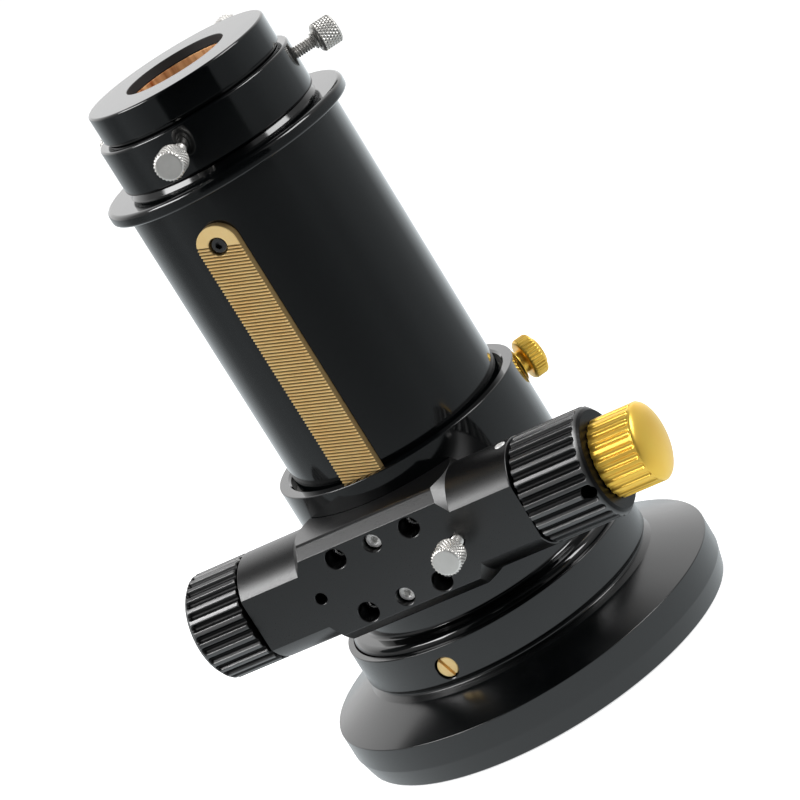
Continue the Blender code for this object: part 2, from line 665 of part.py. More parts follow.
def build_bearings():
    place = along_pinion()
    bore = SHAFT_RADIUS + SEAT_GAP
    sleeve_bore = CARRIER_RADIUS + SEAT_GAP
    left = BARREL_HALF_LENGTH - SEAT_GAP
    for name, inner, low, width in (
            ("shaft_bearing_left", bore, -left, BEARING_WIDTH),
            ("shaft_bearing_right", bore, inner_bearing_x, BEARING_WIDTH),
            ("reducer_race", race_bore, race_x, RACE_WIDTH),
            ("carrier_bearing", sleeve_bore, outer_bearing_x, BEARING_WIDTH)):
        ring = turned(name, [(inner, low), (BEARING_RADIUS, low), (BEARING_RADIUS, low + width),
                             (inner, low + width)], SMALL, steel if name == "reducer_race" else bronze, place)
        carry(ring, body_joint)


def pinion_ring(x, toothed):
    """Points around the shaft at one place along it: four for each tooth of the pinion."""
    half_pitch_angle = math.pi / PINION_TEETH
    thickness = rack_pitch / 2 - TOOTH_SLACK
    slope = math.tan(PRESSURE_ANGLE) / math.cos(HELIX_ANGLE)
    tip_radius = pitch_radius + MODULE
    root_radius = pitch_radius - 1.25 * MODULE
    tip_half = (thickness / 2 - MODULE * slope) / pitch_radius
    root_half = (thickness / 2 + 1.25 * MODULE * slope) / pitch_radius
    turn = -x * math.tan(HELIX_ANGLE) / pitch_radius
    points = []
    for tooth in range(PINION_TEETH):
        centre = (2 * tooth + 1) * half_pitch_angle + turn
        for radius, offset in ((root_radius, -root_half), (tip_radius, -tip_half),
                               (tip_radius, tip_half), (root_radius, root_half)):
            angle = centre + offset
            reach = radius if toothed else SHAFT_RADIUS
            points.append(Vector((x, pinion_y + reach * math.cos(angle), pinion_z + reach * math.sin(angle))))
    return points


def build_pinion_shaft():
    """Steel shaft with the helical pinion cut in its middle, made ring by ring."""
    body = bmesh.new()
    half = PINION_HALF_LENGTH
    stations = [(KNOB_FACE_COVER - left_knob_end, False), (-half, False)]
    stations += [(half * (2 * step / HELIX_STEPS - 1), True) for step in range(HELIX_STEPS + 1)]
    stations += [(half, False), (shaft_end, False)]
    rings = [[body.verts.new(point) for point in pinion_ring(x, toothed)] for x, toothed in stations]
    body.faces.new(rings[0])
    body.faces.new(rings[-1])
    count = len(rings[0])
    for first, second in zip(rings, rings[1:]):
        for step in range(count):
            following = (step + 1) % count
            body.faces.new([first[step], first[following], second[following], second[step]])
    carry(add_object("pinion_shaft", body, steel), pinion_joint)


def build_fine_drive():
    """Ball reducer in the barrel: the fine shaft rolls three balls that carry the pinion shaft."""
    place = along_pinion()
    pocket = BALL_RADIUS + SEAT_GAP
    socket = SHAFT_RADIUS + SEAT_GAP
    bore = FINE_SHAFT_RADIUS + SEAT_GAP
    start = race_x + SEAT_GAP
    step = shaft_end + SEAT_GAP
    end = right_knob_end - KNOB_FACE_COVER
    carrier = turned("reducer_carrier", [
        (socket, start), (CARRIER_RADIUS, start), (CARRIER_RADIUS, end),
        (bore, end), (bore, step), (socket, step)], SMALL, steel, place)
    carry(carrier, pinion_joint)
    ring = place @ Matrix.Translation((0, 0, planet_x))
    balls = [ring @ Matrix.Rotation(2 * math.pi * ball / BALL_COUNT, 4, "Z")
             @ Matrix.Rotation(math.pi / 2, 4, "Y") for ball in range(BALL_COUNT)]
    cut(carrier, "ball_pockets", lambda body: drill(body, [
        (0, BALL_RADIUS), (pocket, BALL_RADIUS), (pocket, BEARING_RADIUS), (0, BEARING_RADIUS)], balls, TINY))
    for name, spot in numbered("reducer_ball", balls):
        body = bmesh.new()
        bmesh.ops.create_uvsphere(body, u_segments=8, v_segments=6, radius=BALL_RADIUS,
                                  matrix=spot @ Matrix.Translation((0, 0, planet_radius)))
        carry(add_object(name, body, steel), pinion_joint)
    start = step + SEAT_GAP
    end = fine_knob_x + FINE_KNOB_LENGTH - SEAT_GAP
    shaft = turned("fine_shaft", [(0, start), (FINE_SHAFT_RADIUS, start), (FINE_SHAFT_RADIUS, end), (0, end)],
                   SMALL, steel, place)
    carry(shaft, fine_joint)


def stepped_bore(wide, step, narrow, start, end):
    """A drill outline: wide from the start to the step, narrow from there to the end."""
    return [(0, start), (wide, start), (wide, step), (narrow, step), (narrow, end), (0, end)]


def build_knobs():
    """Fluted coarse knobs on both ends of the pinion shaft, and a domed fine knob."""
    place = along_pinion()
    rim = KNOB_RADIUS - KNOB_CHAMFER
    shaft_bore = SHAFT_RADIUS + SEAT_GAP
    sleeve_bore = CARRIER_RADIUS + SEAT_GAP
    fine_bore = FINE_SHAFT_RADIUS + SEAT_GAP
    left_socket = left_knob_end - KNOB_FACE_COVER + SEAT_GAP
    right_socket = right_knob_end - KNOB_FACE_COVER + SEAT_GAP
    before = knob_x - KNOB_FACE_COVER
    for name, side, end, grub, bore in (
            ("coarse_knob_left", -1, left_knob_end, left_grub_place(),
             [(0, -before), (shaft_bore, -before), (shaft_bore, -left_socket), (0, -left_socket)]),
            ("coarse_knob_right", 1, right_knob_end, right_grub_place(),
             stepped_bore(sleeve_bore, right_socket, fine_bore, before, right_knob_end + KNOB_CHAMFER))):
        knob = turned(name, [
            (0, side * knob_x), (KNOB_RADIUS, side * knob_x, KNOB_FLUTE_DEPTH),
            (KNOB_RADIUS, side * (end - 2 * KNOB_CHAMFER), KNOB_FLUTE_DEPTH),
            (KNOB_RADIUS, side * (end - KNOB_CHAMFER)), (rim, side * end), (0, side * end)],
            SMALL, black_satin, place, KNOB_FLUTES)
        carry(knob, pinion_joint)
        cut(knob, name + "_bore", lambda body, bore=bore: drill(body, bore, [place], TINY))
        cut(knob, name + "_grub_hole", lambda body, grub=grub: grub_hole(body, grub))
    low, high = fine_knob_x, fine_knob_x + FINE_KNOB_LENGTH
    radius = FINE_KNOB_RADIUS
    dome = [(radius * math.sin(turn), high + FINE_KNOB_DOME * math.cos(turn) ** FINE_DOME_SHAPE)
            for turn in (math.radians(angle) for angle in (78, 54, 28))]
    knob = turned("fine_knob", [
        (0, low), (radius, low, FINE_FLUTE_DEPTH), (radius, high - 2 * SEAT_GAP, FINE_FLUTE_DEPTH),
        (radius, high), *dome, (0, fine_knob_end)], SMALL, gold_anodised, place, FINE_KNOB_FLUTES)
    carry(knob, fine_joint)
    cut(knob, "fine_knob_bore", lambda body: drill(
        body, [(0, right_socket), (fine_bore, right_socket), (fine_bore, high), (0, high)], [place], TINY))
    for name, side, inner in (("knob_washer_left", -1, shaft_bore), ("knob_washer_right", 1, sleeve_bore)):
        low = side * (BARREL_HALF_LENGTH + SEAT_GAP)
        high = low + side * WASHER_THICKNESS
        washer = turned(name, [(inner, low), (WASHER_RADIUS, low), (WASHER_RADIUS, high), (inner, high)],
                        SMALL, white_plastic, place)
        carry(washer, pinion_joint)


def off_pinion(x, angle):
    """Out of the pinion axis at one place along it."""
    return Matrix.Translation((x, pinion_y, pinion_z)) @ Matrix.Rotation(angle, 4, "X")


def left_grub_place():
    return off_pinion(GRUB_INSET - left_knob_end, LEFT_GRUB_ANGLE)


def right_grub_place():
    return off_pinion(right_knob_end - GRUB_INSET, RIGHT_GRUB_ANGLE)


def grub_hole(body, place):
    hole = GRUB_RADIUS + SEAT_GAP
    drill(body, [(0, 0), (hole, 0), (hole, 2 * KNOB_RADIUS), (0, 2 * KNOB_RADIUS)], [place], TINY)


def build_grub_screws():
    for name, place, seat in (("grub_screw_left", left_grub_place(), SHAFT_RADIUS),
                              ("grub_screw_right", right_grub_place(), CARRIER_RADIUS)):
        tip = seat + SEAT_GAP
        top = tip + GRUB_LENGTH
        socket_screws(name, [place], [
            (0, tip), (GRUB_RADIUS, tip), (GRUB_RADIUS, top), (0, top)],
            GRUB_RADIUS, top - GRUB_RADIUS, top, dark_steel, pinion_joint)


def rack_outline(offset):
    """Rounded bar in the plane of the rack, seen from the front."""
    half = RACK_WIDTH / 2 + offset
    low, high = rack_low + RACK_WIDTH / 2, rack_top - RACK_WIDTH / 2
    turns = [math.pi * step / 12 for step in range(13)]
    return ([(half * math.cos(turn), high + half * math.sin(turn)) for turn in turns]
            + [(-half * math.cos(turn), low - half * math.sin(turn)) for turn in turns])


def facing_front():
    """Maps outline (x, y) to world (x, z), and extrudes towards -Y."""
    return Matrix(((1, 0, 0, 0), (0, 0, -1, 0), (0, 1, 0, 0), (0, 0, 0, 1)))


def rack_screw_places():
    return [from_front(0, rack_top - RACK_WIDTH / 2), from_front(0, rack_low + RACK_WIDTH / 2)]


def build_rack():
    """Brass rack, toothed between its plain round ends, sunk in a milled seat of the drawtube."""
    thickness = rack_pitch / 2 - TOOTH_SLACK
    slope = math.tan(PRESSURE_ANGLE) / math.cos(HELIX_ANGLE)
    depth = 2.25 * MODULE
    tip_half = thickness / 2 - MODULE * slope
    root_half = thickness / 2 + (depth - MODULE) * slope
    shear = math.tan(HELIX_ANGLE)
    half = RACK_WIDTH / 2 + SEAT_GAP
    spare = shear * half + SEAT_GAP
    first = math.ceil((rack_low + RACK_WIDTH / 2 - pinion_z) / rack_pitch)
    last = math.floor((rack_top - RACK_WIDTH / 2 - pinion_z) / rack_pitch)
    root = rack_face - depth
    before, after = pinion_z + (first - 1) * rack_pitch, pinion_z + (last + 1) * rack_pitch
    outline = [(rack_back, rack_low - spare), (rack_face, rack_low - spare),
               (rack_face, before + tip_half), (root, before + root_half)]
    for tooth in range(first, last + 1):
        centre = pinion_z + tooth * rack_pitch
        outline += [(root, centre - root_half), (rack_face, centre - tip_half),
                    (rack_face, centre + tip_half), (root, centre + root_half)]
    outline += [(root, after - root_half), (rack_face, after - tip_half),
                (rack_face, rack_top + spare), (rack_back, rack_top + spare)]
    body = bmesh.new()
    sides = [[body.verts.new((x, -y, z - shear * x)) for y, z in outline] for x in (-half, half)]
    body.faces.new(sides[0])
    body.faces.new(sides[1])
    for step in range(len(outline)):
        following = (step + 1) % len(outline)
        body.faces.new([sides[0][step], sides[0][following], sides[1][following], sides[1][step]])
    rack = carry(add_object("rack", body, brass), tube_joint)
    cut(rack, "rack_ends", lambda tool: add_prism(
        tool, rack_outline(0), 0, 2 * rack_face, facing_front()), "INTERSECT")
    head, shank = RACK_SCREW_HEAD + SEAT_GAP, RACK_SCREW_SHANK + SEAT_GAP
    seat = rack_back + RACK_SCREW_SEAT - SEAT_GAP
    cut(rack, "rack_screw_holes", lambda tool: drill(
        tool, [(0, 0), (shank, 0), (shank, seat), (head, seat), (head, 2 * rack_face), (0, 2 * rack_face)],
        rack_screw_places(), TINY))


def build_rack_screws():
    top = rack_face - 2.25 * MODULE - SEAT_GAP
    seat = rack_back + RACK_SCREW_SEAT
    tip = tube_bore + SEAT_GAP
    socket_screws("rack_screw", rack_screw_places(), [
        (0, tip), (RACK_SCREW_SHANK, tip), (RACK_SCREW_SHANK, seat), (RACK_SCREW_HEAD, seat),
        (RACK_SCREW_HEAD, top), (0, top)], RACK_SCREW_HEAD, (seat + top) / 2, top, dark_steel, tube_joint)


def build_drawtube():
    """Wide drawtube with a milled seat for the rack."""
    top = ring_low - SEAT_GAP
    edge = 2 * SEAT_GAP
    tube = turned("drawtube", [
        (tube_bore, tube_low), (drawtube_radius - edge, tube_low), (drawtube_radius, tube_low + edge),
        (drawtube_radius, top), (tube_bore, top)], LARGE, black_gloss)
    carry(tube, tube_joint)
    cut(tube, "rack_seat", lambda body: add_prism(
        body, rack_outline(SEAT_GAP), rack_back - SEAT_GAP, 2 * rack_face, facing_front()))
    shank = RACK_SCREW_SHANK + SEAT_GAP
    cut(tube, "rack_screw_taps", lambda body: drill(
        body, [(0, tube_bore / 2), (shank, tube_bore / 2), (shank, 2 * rack_face), (0, 2 * rack_face)],
        rack_screw_places(), TINY))


def build_end_ring():
    """Ring flange that screws on the drawtube's end."""
    low, high = ring_low, ring_top
    edge = END_RING_HEIGHT / 4
    ring = turned("end_ring", [
        (ring_bore, low - HOLDER_SPIGOT), (ring_spigot, low - HOLDER_SPIGOT), (ring_spigot, low),
        (end_ring_radius - edge, low), (end_ring_radius, low + edge), (end_ring_radius, high - edge),
        (end_ring_radius - edge / 2, high), (ring_bore, high)], LARGE, black_gloss)
    carry(ring, tube_joint)


def holder_screw_places():
    return [outward(HOLDER_SCREW_ANGLE + 2 * math.pi * turn / HOLDER_SCREW_COUNT, holder_screw_height)
            for turn in range(HOLDER_SCREW_COUNT)]


def build_holder():
    """Two inch eyepiece holder, screwed in the end ring, with a recess for its clamp ring."""
    low = holder_low - HOLDER_SPIGOT
    edge = 3 * SEAT_GAP
    half = WIDE_CLAMP_HEIGHT / 2 + SEAT_GAP
    holder = turned("eyepiece_holder", [
        (HOLDER_BORE, low), (holder_spigot, low), (holder_spigot, holder_low), (holder_neck, holder_low),
        (holder_neck, holder_neck_top), (holder_radius - edge, holder_neck_top),
        (holder_radius, holder_neck_top + edge), (holder_radius, holder_top - edge),
        (holder_radius - edge, holder_top), (HOLDER_BORE, holder_top),
        (HOLDER_BORE, holder_screw_height + half), (wide_clamp_recess, holder_screw_height + half),
        (wide_clamp_recess, holder_screw_height - half), (HOLDER_BORE, holder_screw_height - half)],
        LARGE, black_gloss)
    carry(holder, tube_joint)
    thread = THUMB_SHANK + SEAT_GAP
    cut(holder, "holder_screw_taps", lambda body: drill(
        body, [(0, HOLDER_BORE), (thread, HOLDER_BORE), (thread, 2 * holder_radius), (0, 2 * holder_radius)],
        holder_screw_places(), TINY))


def clamp_ring(name, inner, outer, height, centre, joint):
    """Brass compression ring, split on one side."""
    low, high = centre - height / 2, centre + height / 2
    ring = turned(name, [(inner, low), (outer, low), (outer, high), (inner, high)], MEDIUM, copper_alloy)
    carry(ring, joint)
    slit = outer - inner
    cut(ring, name + "_slit", lambda body: add_prism(
        body, box_outline(-2 * outer, -slit / 2, 0, slit / 2), low - slit, high + slit))


def build_adapter():
    """Adapter for narrow eyepieces: a cap on a spigot that slides in the holder."""
    spigot = HOLDER_BORE - SEAT_GAP
    low = cap_low - ADAPTER_SPIGOT_LENGTH
    edge = 2 * SEAT_GAP
    half = NARROW_CLAMP_HEIGHT / 2 + SEAT_GAP
    piece = turned("eyepiece_adapter", [
        (ADAPTER_BORE, low), (spigot - edge, low), (spigot, low + edge), (spigot, cap_low),
        (cap_radius, cap_low), (cap_radius, cap_top - edge), (cap_radius - edge, cap_top),
        (ADAPTER_BORE + MOUTH_CHAMFER, cap_top), (ADAPTER_BORE, cap_top - MOUTH_CHAMFER),
        (ADAPTER_BORE, adapter_screw_height + half), (narrow_clamp_recess, adapter_screw_height + half),
        (narrow_clamp_recess, adapter_screw_height - half), (ADAPTER_BORE, adapter_screw_height - half)],
        LARGE, black_gloss)
    carry(piece, adapter_joint)
    thread = THUMB_SHANK + SEAT_GAP
    cut(piece, "adapter_screw_tap", lambda body: drill(
        body, [(0, ADAPTER_BORE), (thread, ADAPTER_BORE), (thread, 2 * cap_radius), (0, 2 * cap_radius)],
        [outward(ADAPTER_SCREW_ANGLE, adapter_screw_height)], TINY))


def thumbscrew(name, place, tip, neck, joint):
    """Knurled thumbscrew: shank from its tip to the neck, then a stepped head."""
    collar = neck + THUMB_NECK_LENGTH
    top = collar + THUMB_HEAD_LENGTH
    edge = THUMB_CHAMFER
    screw = turned(name, [
        (0, tip), (THUMB_SHANK, tip), (THUMB_SHANK, neck), (THUMB_NECK, neck), (THUMB_NECK, collar),
        (THUMB_HEAD - edge, collar), (THUMB_HEAD, collar + edge), (THUMB_HEAD, top - edge),
        (THUMB_HEAD - edge, top), (0, top)], TINY, steel, place)
    seat = joint_empty(name + "_axis", place.translation, joint)
    carry(screw, seat)


def build_thumbscrews():
    for name, place in numbered("holder_thumbscrew", holder_screw_places()):
        thumbscrew(name, place, wide_clamp_outer + SEAT_GAP,
                   holder_radius + HOLDER_SCREW_REACH, tube_joint)
    thumbscrew("adapter_thumbscrew", outward(ADAPTER_SCREW_ANGLE, adapter_screw_height),
               narrow_clamp_outer + SEAT_GAP, cap_radius + ADAPTER_SCREW_REACH, adapter_joint)
    thumbscrew("block_thumbscrew", from_front(side_hole_x, pinion_z),
               SHAFT_RADIUS + SEAT_GAP - pinion_y, BLOCK_SCREW_REACH - front_y, body_joint)


def build_gold_screw():
    """Gold lock screw of the drawtube with its thin washer."""
    place = outward(GOLD_SCREW_ANGLE, gold_screw_height)
    low = body_radius + SEAT_GAP
    bore = THUMB_SHANK + SEAT_GAP
    high = low + GOLD_WASHER_HEIGHT
    washer = turned("lock_washer", [(bore, low), (GOLD_WASHER_RADIUS, low), (GOLD_WASHER_RADIUS, high),
                                    (bore, high)], SMALL, gold_anodised, place)
    carry(washer, body_joint)
    neck = high + SEAT_GAP
    head = neck + GOLD_NECK_LENGTH
    top = head + GOLD_HEAD_LENGTH
    edge = THUMB_CHAMFER
    screw = turned("drawtube_lock_screw", [
        (0, guide_inner), (THUMB_SHANK, guide_inner), (THUMB_SHANK, neck), (GOLD_NECK_RADIUS, neck),
        (GOLD_NECK_RADIUS, head), (GOLD_HEAD_RADIUS - edge, head), (GOLD_HEAD_RADIUS, head + edge),
        (GOLD_HEAD_RADIUS, top - edge), (GOLD_HEAD_RADIUS - edge, top), (GOLD_BUTTON_RADIUS, top),
        (GOLD_BUTTON_RADIUS, top + GOLD_BUTTON_HEIGHT), (0, top + GOLD_BUTTON_HEIGHT)],
        SMALL, gold_anodised, place)
    carry(screw, joint_empty("drawtube_lock_axis", place.translation, body_joint))


build_flange()
build_lock_screws()
build_body()
build_guides()
build_block()
build_block_screws()
build_pad()
build_bearings()
build_pinion_shaft()
build_fine_drive()
build_knobs()
build_grub_screws()
build_drawtube()
build_rack()
build_rack_screws()
build_end_ring()
build_holder()
clamp_ring("clamp_ring_wide", wide_clamp_inner, wide_clamp_outer, WIDE_CLAMP_HEIGHT,
           holder_screw_height, tube_joint)
build_adapter()
clamp_ring("clamp_ring_narrow", narrow_clamp_inner, narrow_clamp_outer, NARROW_CLAMP_HEIGHT,
           adapter_screw_height, adapter_joint)
build_thumbscrews()
build_gold_screw()
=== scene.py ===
# Helical rack and pinion focuser for a telescope: machined shapes, finishes, light and camera.
import json
import math

import bmesh
import bpy
from mathutils import Matrix, Vector


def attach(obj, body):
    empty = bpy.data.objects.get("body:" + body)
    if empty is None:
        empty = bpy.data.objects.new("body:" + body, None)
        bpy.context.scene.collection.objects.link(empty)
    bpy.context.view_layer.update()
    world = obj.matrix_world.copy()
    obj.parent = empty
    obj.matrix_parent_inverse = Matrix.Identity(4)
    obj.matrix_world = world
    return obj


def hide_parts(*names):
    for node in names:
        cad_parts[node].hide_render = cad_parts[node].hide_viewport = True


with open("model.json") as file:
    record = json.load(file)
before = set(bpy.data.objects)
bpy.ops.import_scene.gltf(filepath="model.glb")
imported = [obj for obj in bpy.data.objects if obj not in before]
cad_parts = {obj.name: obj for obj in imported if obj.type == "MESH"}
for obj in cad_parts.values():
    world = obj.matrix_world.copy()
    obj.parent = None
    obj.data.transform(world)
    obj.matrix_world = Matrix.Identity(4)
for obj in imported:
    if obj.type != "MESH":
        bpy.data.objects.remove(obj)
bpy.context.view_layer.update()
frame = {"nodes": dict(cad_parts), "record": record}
mm = 0.001
pinionAxis = {"y": -39.3687, "z": 64.5}  # in millimetres


def toLinear(code):
    values = [int(code[spot:spot + 2], 16) / 255 for spot in (0, 2, 4)]
    return tuple(v / 12.92 if v <= 0.04045 else ((v + 0.055) / 1.055) ** 2.4 for v in values) + (1.0,)


def addNode(tree, kind, settings):
    # a socket is linked, and any other value is set on the input or the property of its name
    node = tree.nodes.new(kind)
    for key, value in settings.items():
        if isinstance(value, bpy.types.NodeSocket):
            tree.links.new(value, node.inputs[key])
        elif isinstance(key, str) and key not in node.inputs:
            setattr(node, key, value)
        else:
            node.inputs[key].default_value = value
    return node


def startMaterial(name, settings):
    material = bpy.data.materials.new(name)
    material.use_nodes = True
    tree = material.node_tree
    tree.nodes.clear()
    shader = addNode(tree, "ShaderNodeBsdfPrincipled", settings)
    addNode(tree, "ShaderNodeOutputMaterial", {"Surface": shader.outputs["BSDF"]})
    return material, tree, shader, addNode(tree, "ShaderNodeTexCoord", {}).outputs["Object"]


def dressSurface(tree, shader, look, tint, grain, height=None):
    # tint drifts the colour between two shades, grain moves the gloss, and height lifts the surface
    low, high = (toLinear(shade) for shade in look["shades"])
    colour = addNode(tree, "ShaderNodeMix", {"data_type": "RGBA", 0: tint, 6: low, 7: high}).outputs[2]
    tree.links.new(colour, shader.inputs["Base Color"])
    satin, dull = look["roughness"]
    gloss = addNode(tree, "ShaderNodeMapRange", {
        "Value": grain, "From Min": 0.3, "From Max": 0.7, "To Min": satin, "To Max": dull})
    tree.links.new(gloss.outputs["Result"], shader.inputs["Roughness"])
    if height is not None:
        strength, lift = look["bump"]
        bump = addNode(tree, "ShaderNodeBump", {
            "Height": height, "Strength": strength, "Distance": lift * mm})
        tree.links.new(bump.outputs["Normal"], shader.inputs["Normal"])
    return colour


print("materials")

# Polished black anodised aluminium: a dyed oxide skin over turned metal, near black with mirror reflections
# that grow at a glancing view, and lathe lines too fine to see except as a slight softening.
polishedBlackLook = {"shader": {"IOR": 1.62, "Metallic": 0.0, "Specular IOR Level": 0.5},
                     "shades": ("040506", "080a0b"), "haze": 60.0, "roughness": (0.06, 0.12),
                     "turning": 0.35, "bump": (0.012, 0.02)}
# The same skin on the flange, less polished, so its reflections are broader.
turnedBlackLook = {**polishedBlackLook, "roughness": (0.19, 0.25)}


def makeTurnedBlack(name, look):
    material, tree, shader, spot = startMaterial(name, look["shader"])
    haze = addNode(tree, "ShaderNodeTexNoise", {
        "Vector": spot, "Scale": look["haze"], "Detail": 3.0}).outputs["Fac"]
    # turning marks 0.35 mm apart, drawn coarser than the real 0.1 mm feed so that they show
    lines = addNode(tree, "ShaderNodeTexWave", {
        "wave_type": "BANDS", "bands_direction": "Z", "Vector": spot, "Distortion": 0.4,
        "Scale": 2 * math.pi / (20 * look["turning"] * mm)}).outputs["Fac"]
    dressSurface(tree, shader, look, haze, haze, lines)
    return material


# Satin black anodised aluminium: bead blasted before dyeing, so reflections spread. The blasted grain of
# 0.1 mm is drawn at 0.25 mm so that it shows.
satinBlackLook = {"shader": {"IOR": 1.72, "Metallic": 0.0}, "shades": ("050506", "0a0a0b"), "cloud": 45.0,
                  "grain": 0.25, "roughness": (0.27, 0.39), "bump": (0.1, 0.03)}
# Matt black anodising in the eyepiece bore, against stray light.
boreBlackLook = {**satinBlackLook, "roughness": (0.65, 0.77)}
# Gold anodised aluminium: clear dyed oxide over satin turned metal, warm yellow with soft bright highlights.
goldLook = {"shader": {"Metallic": 0.7}, "shades": ("ffc84e", "ffdc64"), "cloud": 90.0, "grain": 0.3,
            "roughness": (0.28, 0.33), "bump": (0.006, 0.02)}
# Turned stainless steel of the thumbscrews: pale grey, with soft reflections broken up by the tool marks.
steelLook = {"shader": {"Metallic": 0.9}, "shades": ("dcdad6", "f4f2ee"), "cloud": 260.0, "grain": 0.12,
             "roughness": (0.34, 0.52), "bump": (0.12, 0.02)}
# Nickel plate on the small set screws: paler than plain steel, painted light that lets them shine in the
# shade of their holes.
nickelLook = {**steelLook, "shader": {"Metallic": 0.4}, "shades": ("f4f3f0", "ffffff")}
# Oiled black oxide on the steel cap screws: a dark skin with small sharp glints from the oil on its edges.
oxideLook = {"shader": {"Metallic": 0.0, "IOR": 2.2}, "shades": ("060607", "101012"), "cloud": 900.0,
             "roughness": (0.16, 0.26)}
# Turned acetal: guides in black, washers and the pressure pad in white, waxy with soft highlights.
whiteAcetalLook = {"shader": {"IOR": 1.48, "Metallic": 0.0}, "shades": ("d8d7d0", "e6e5de"), "cloud": 400.0,
                   "roughness": (0.38, 0.52)}
blackAcetalLook = {**whiteAcetalLook, "shades": ("0c0c0d", "161617")}
# Sintered bronze of the bushes: brown, open grained, dry.
bronzeLook = {"shader": {"Metallic": 1.0}, "shades": ("6b4a2c", "9a7448"), "cloud": 3000.0,
              "roughness": (0.34, 0.5)}


def makeGrained(name, look):
    material, tree, shader, spot = startMaterial(name, look["shader"])
    cloud = addNode(tree, "ShaderNodeTexNoise", {
        "Vector": spot, "Scale": look["cloud"], "Detail": 3.0}).outputs["Fac"]
    if "grain" in look:
        grain = addNode(tree, "ShaderNodeTexNoise", {
            "Vector": spot, "Scale": 1 / (look["grain"] * mm), "Detail": 2.0}).outputs["Fac"]
        dressSurface(tree, shader, look, cloud, grain, grain)
    else:
        dressSurface(tree, shader, look, cloud, cloud)
    return material


# Knobs, the same blasted skin, with painted shade: the shine fades into the grooves, as if their walls shaded
# each other.
knobBlackLook = {**satinBlackLook, "roughness": (0.31, 0.43), "grooveFloor": 15.5, "ridge": 16.3,
                 "specular": (0.08, 1.0)}


def makeKnobBlack():
    look = knobBlackLook
    material = makeGrained("satinBlackFlutedAluminium", look)
    tree = material.node_tree
    spot = addNode(tree, "ShaderNodeTexCoord", {}).outputs["Object"]
    axis = (0, pinionAxis["y"] * mm, pinionAxis["z"] * mm)
    away = addNode(tree, "ShaderNodeVectorMath", {"operation": "SUBTRACT", 0: spot, 1: axis}).outputs[0]
    across = addNode(tree, "ShaderNodeVectorMath", {
        "operation": "MULTIPLY", 0: away, 1: (0, 1, 1)}).outputs[0]
    reach = addNode(tree, "ShaderNodeVectorMath", {"operation": "LENGTH", 0: across}).outputs["Value"]
    # painted shade: the specular level drops from the ridges to the floors of the grooves
    shine = addNode(tree, "ShaderNodeMapRange", {
        "Value": reach, "From Min": look["grooveFloor"] * mm, "From Max": look["ridge"] * mm,
        "To Min": look["specular"][0], "To Max": look["specular"][1]}).outputs["Result"]
    tree.links.new(shine, tree.nodes["Principled BSDF"].inputs["Specular IOR Level"])
    return material


# Milled free-cutting brass: bare and a little dull, with fine cutter scratches along the rack and painted
# shade in the roots of its teeth.
brassLook = {"shades": ("fad086", "ffe8ac"), "rootShadeColour": "4e3412", "roughness": (0.42, 0.6), "scratch": 0.2,
             "metallic": 0.45, "bump": (0.12, 0.03), "root": -36.25, "tip": -36.7, "rootShadeShare": 0.75}


def makeBrass():
    look = brassLook
    material, tree, shader, spot = startMaterial("milledBrass", {"Metallic": look["metallic"]})
    squeeze = 1 / (look["scratch"] * mm)
    along = addNode(tree, "ShaderNodeMapping", {
        "Vector": spot, "Scale": (squeeze, squeeze, 60.0)}).outputs["Vector"]
    scratch = addNode(tree, "ShaderNodeTexNoise", {
        "Vector": along, "Scale": 1.0, "Detail": 3.0}).outputs["Fac"]
    tarnish = addNode(tree, "ShaderNodeTexNoise", {
        "Vector": spot, "Scale": 140.0, "Detail": 4.0}).outputs["Fac"]
    bare = dressSurface(tree, shader, look, tarnish, scratch, scratch)
    # painted shade darkens the roots of the teeth, 0.7 mm below their tops
    depth = addNode(tree, "ShaderNodeSeparateXYZ", {0: spot}).outputs["Y"]
    rootShading = addNode(tree, "ShaderNodeMapRange", {
        "Value": depth, "From Min": look["tip"] * mm, "From Max": look["root"] * mm, "To Max": look["rootShadeShare"]})
    rootShaded = addNode(tree, "ShaderNodeMix", {"data_type": "RGBA", 0: rootShading.outputs["Result"], 6: bare,
                                              7: toLinear(look["rootShadeColour"])})
    tree.links.new(rootShaded.outputs[2], shader.inputs["Base Color"])
    return material


# Rolled copper alloy strip of the clamp rings: warm orange brown, with streaks across it from the rolling,
# made pale and dark enough to be painted highlights.
copperLook = {"shades": ("b05c26", "ffc68c"), "roughness": (0.44, 0.6), "metallic": 0.35, "squeeze": 420.0,
              "bump": (0.1, 0.03)}


def makeCopper():
    look = copperLook
    material, tree, shader, spot = startMaterial("rolledCopperAlloy", {"Metallic": look["metallic"]})
    scale = (look["squeeze"], look["squeeze"], 60.0)  # a streak every 2.4 mm
    bands = addNode(tree, "ShaderNodeMapping", {"Vector": spot, "Scale": scale}).outputs["Vector"]
    drawn = addNode(tree, "ShaderNodeTexNoise", {"Vector": bands, "Scale": 1.0, "Detail": 3.0}).outputs["Fac"]
    # painted highlights: along these streaks the colour swings from dark brown to pale
    streakHighlights = addNode(tree, "ShaderNodeMapRange", {"Value": drawn, "From Min": 0.3, "From Max": 0.6})
    dressSurface(tree, shader, look, streakHighlights.outputs["Result"], drawn, drawn)
    return material


glossBlack = makeTurnedBlack("polishedBlackAnodisedAluminium", polishedBlackLook)
turnedBlack = makeTurnedBlack("turnedBlackAnodisedAluminium", turnedBlackLook)
satinBlack = makeGrained("satinBlackAnodisedAluminium", satinBlackLook)
knobBlack = makeKnobBlack()
boreBlack = makeGrained("mattBlackAnodisedBore", boreBlackLook)
gold = makeGrained("satinGoldAnodisedAluminium", goldLook)
brass = makeBrass()
copper = makeCopper()
steel = makeGrained("turnedStainlessSteel", steelLook)
brightSteel = makeGrained("nickelPlatedSteel", nickelLook)
blackOxide = makeGrained("oiledBlackOxideSteel", oxideLook)

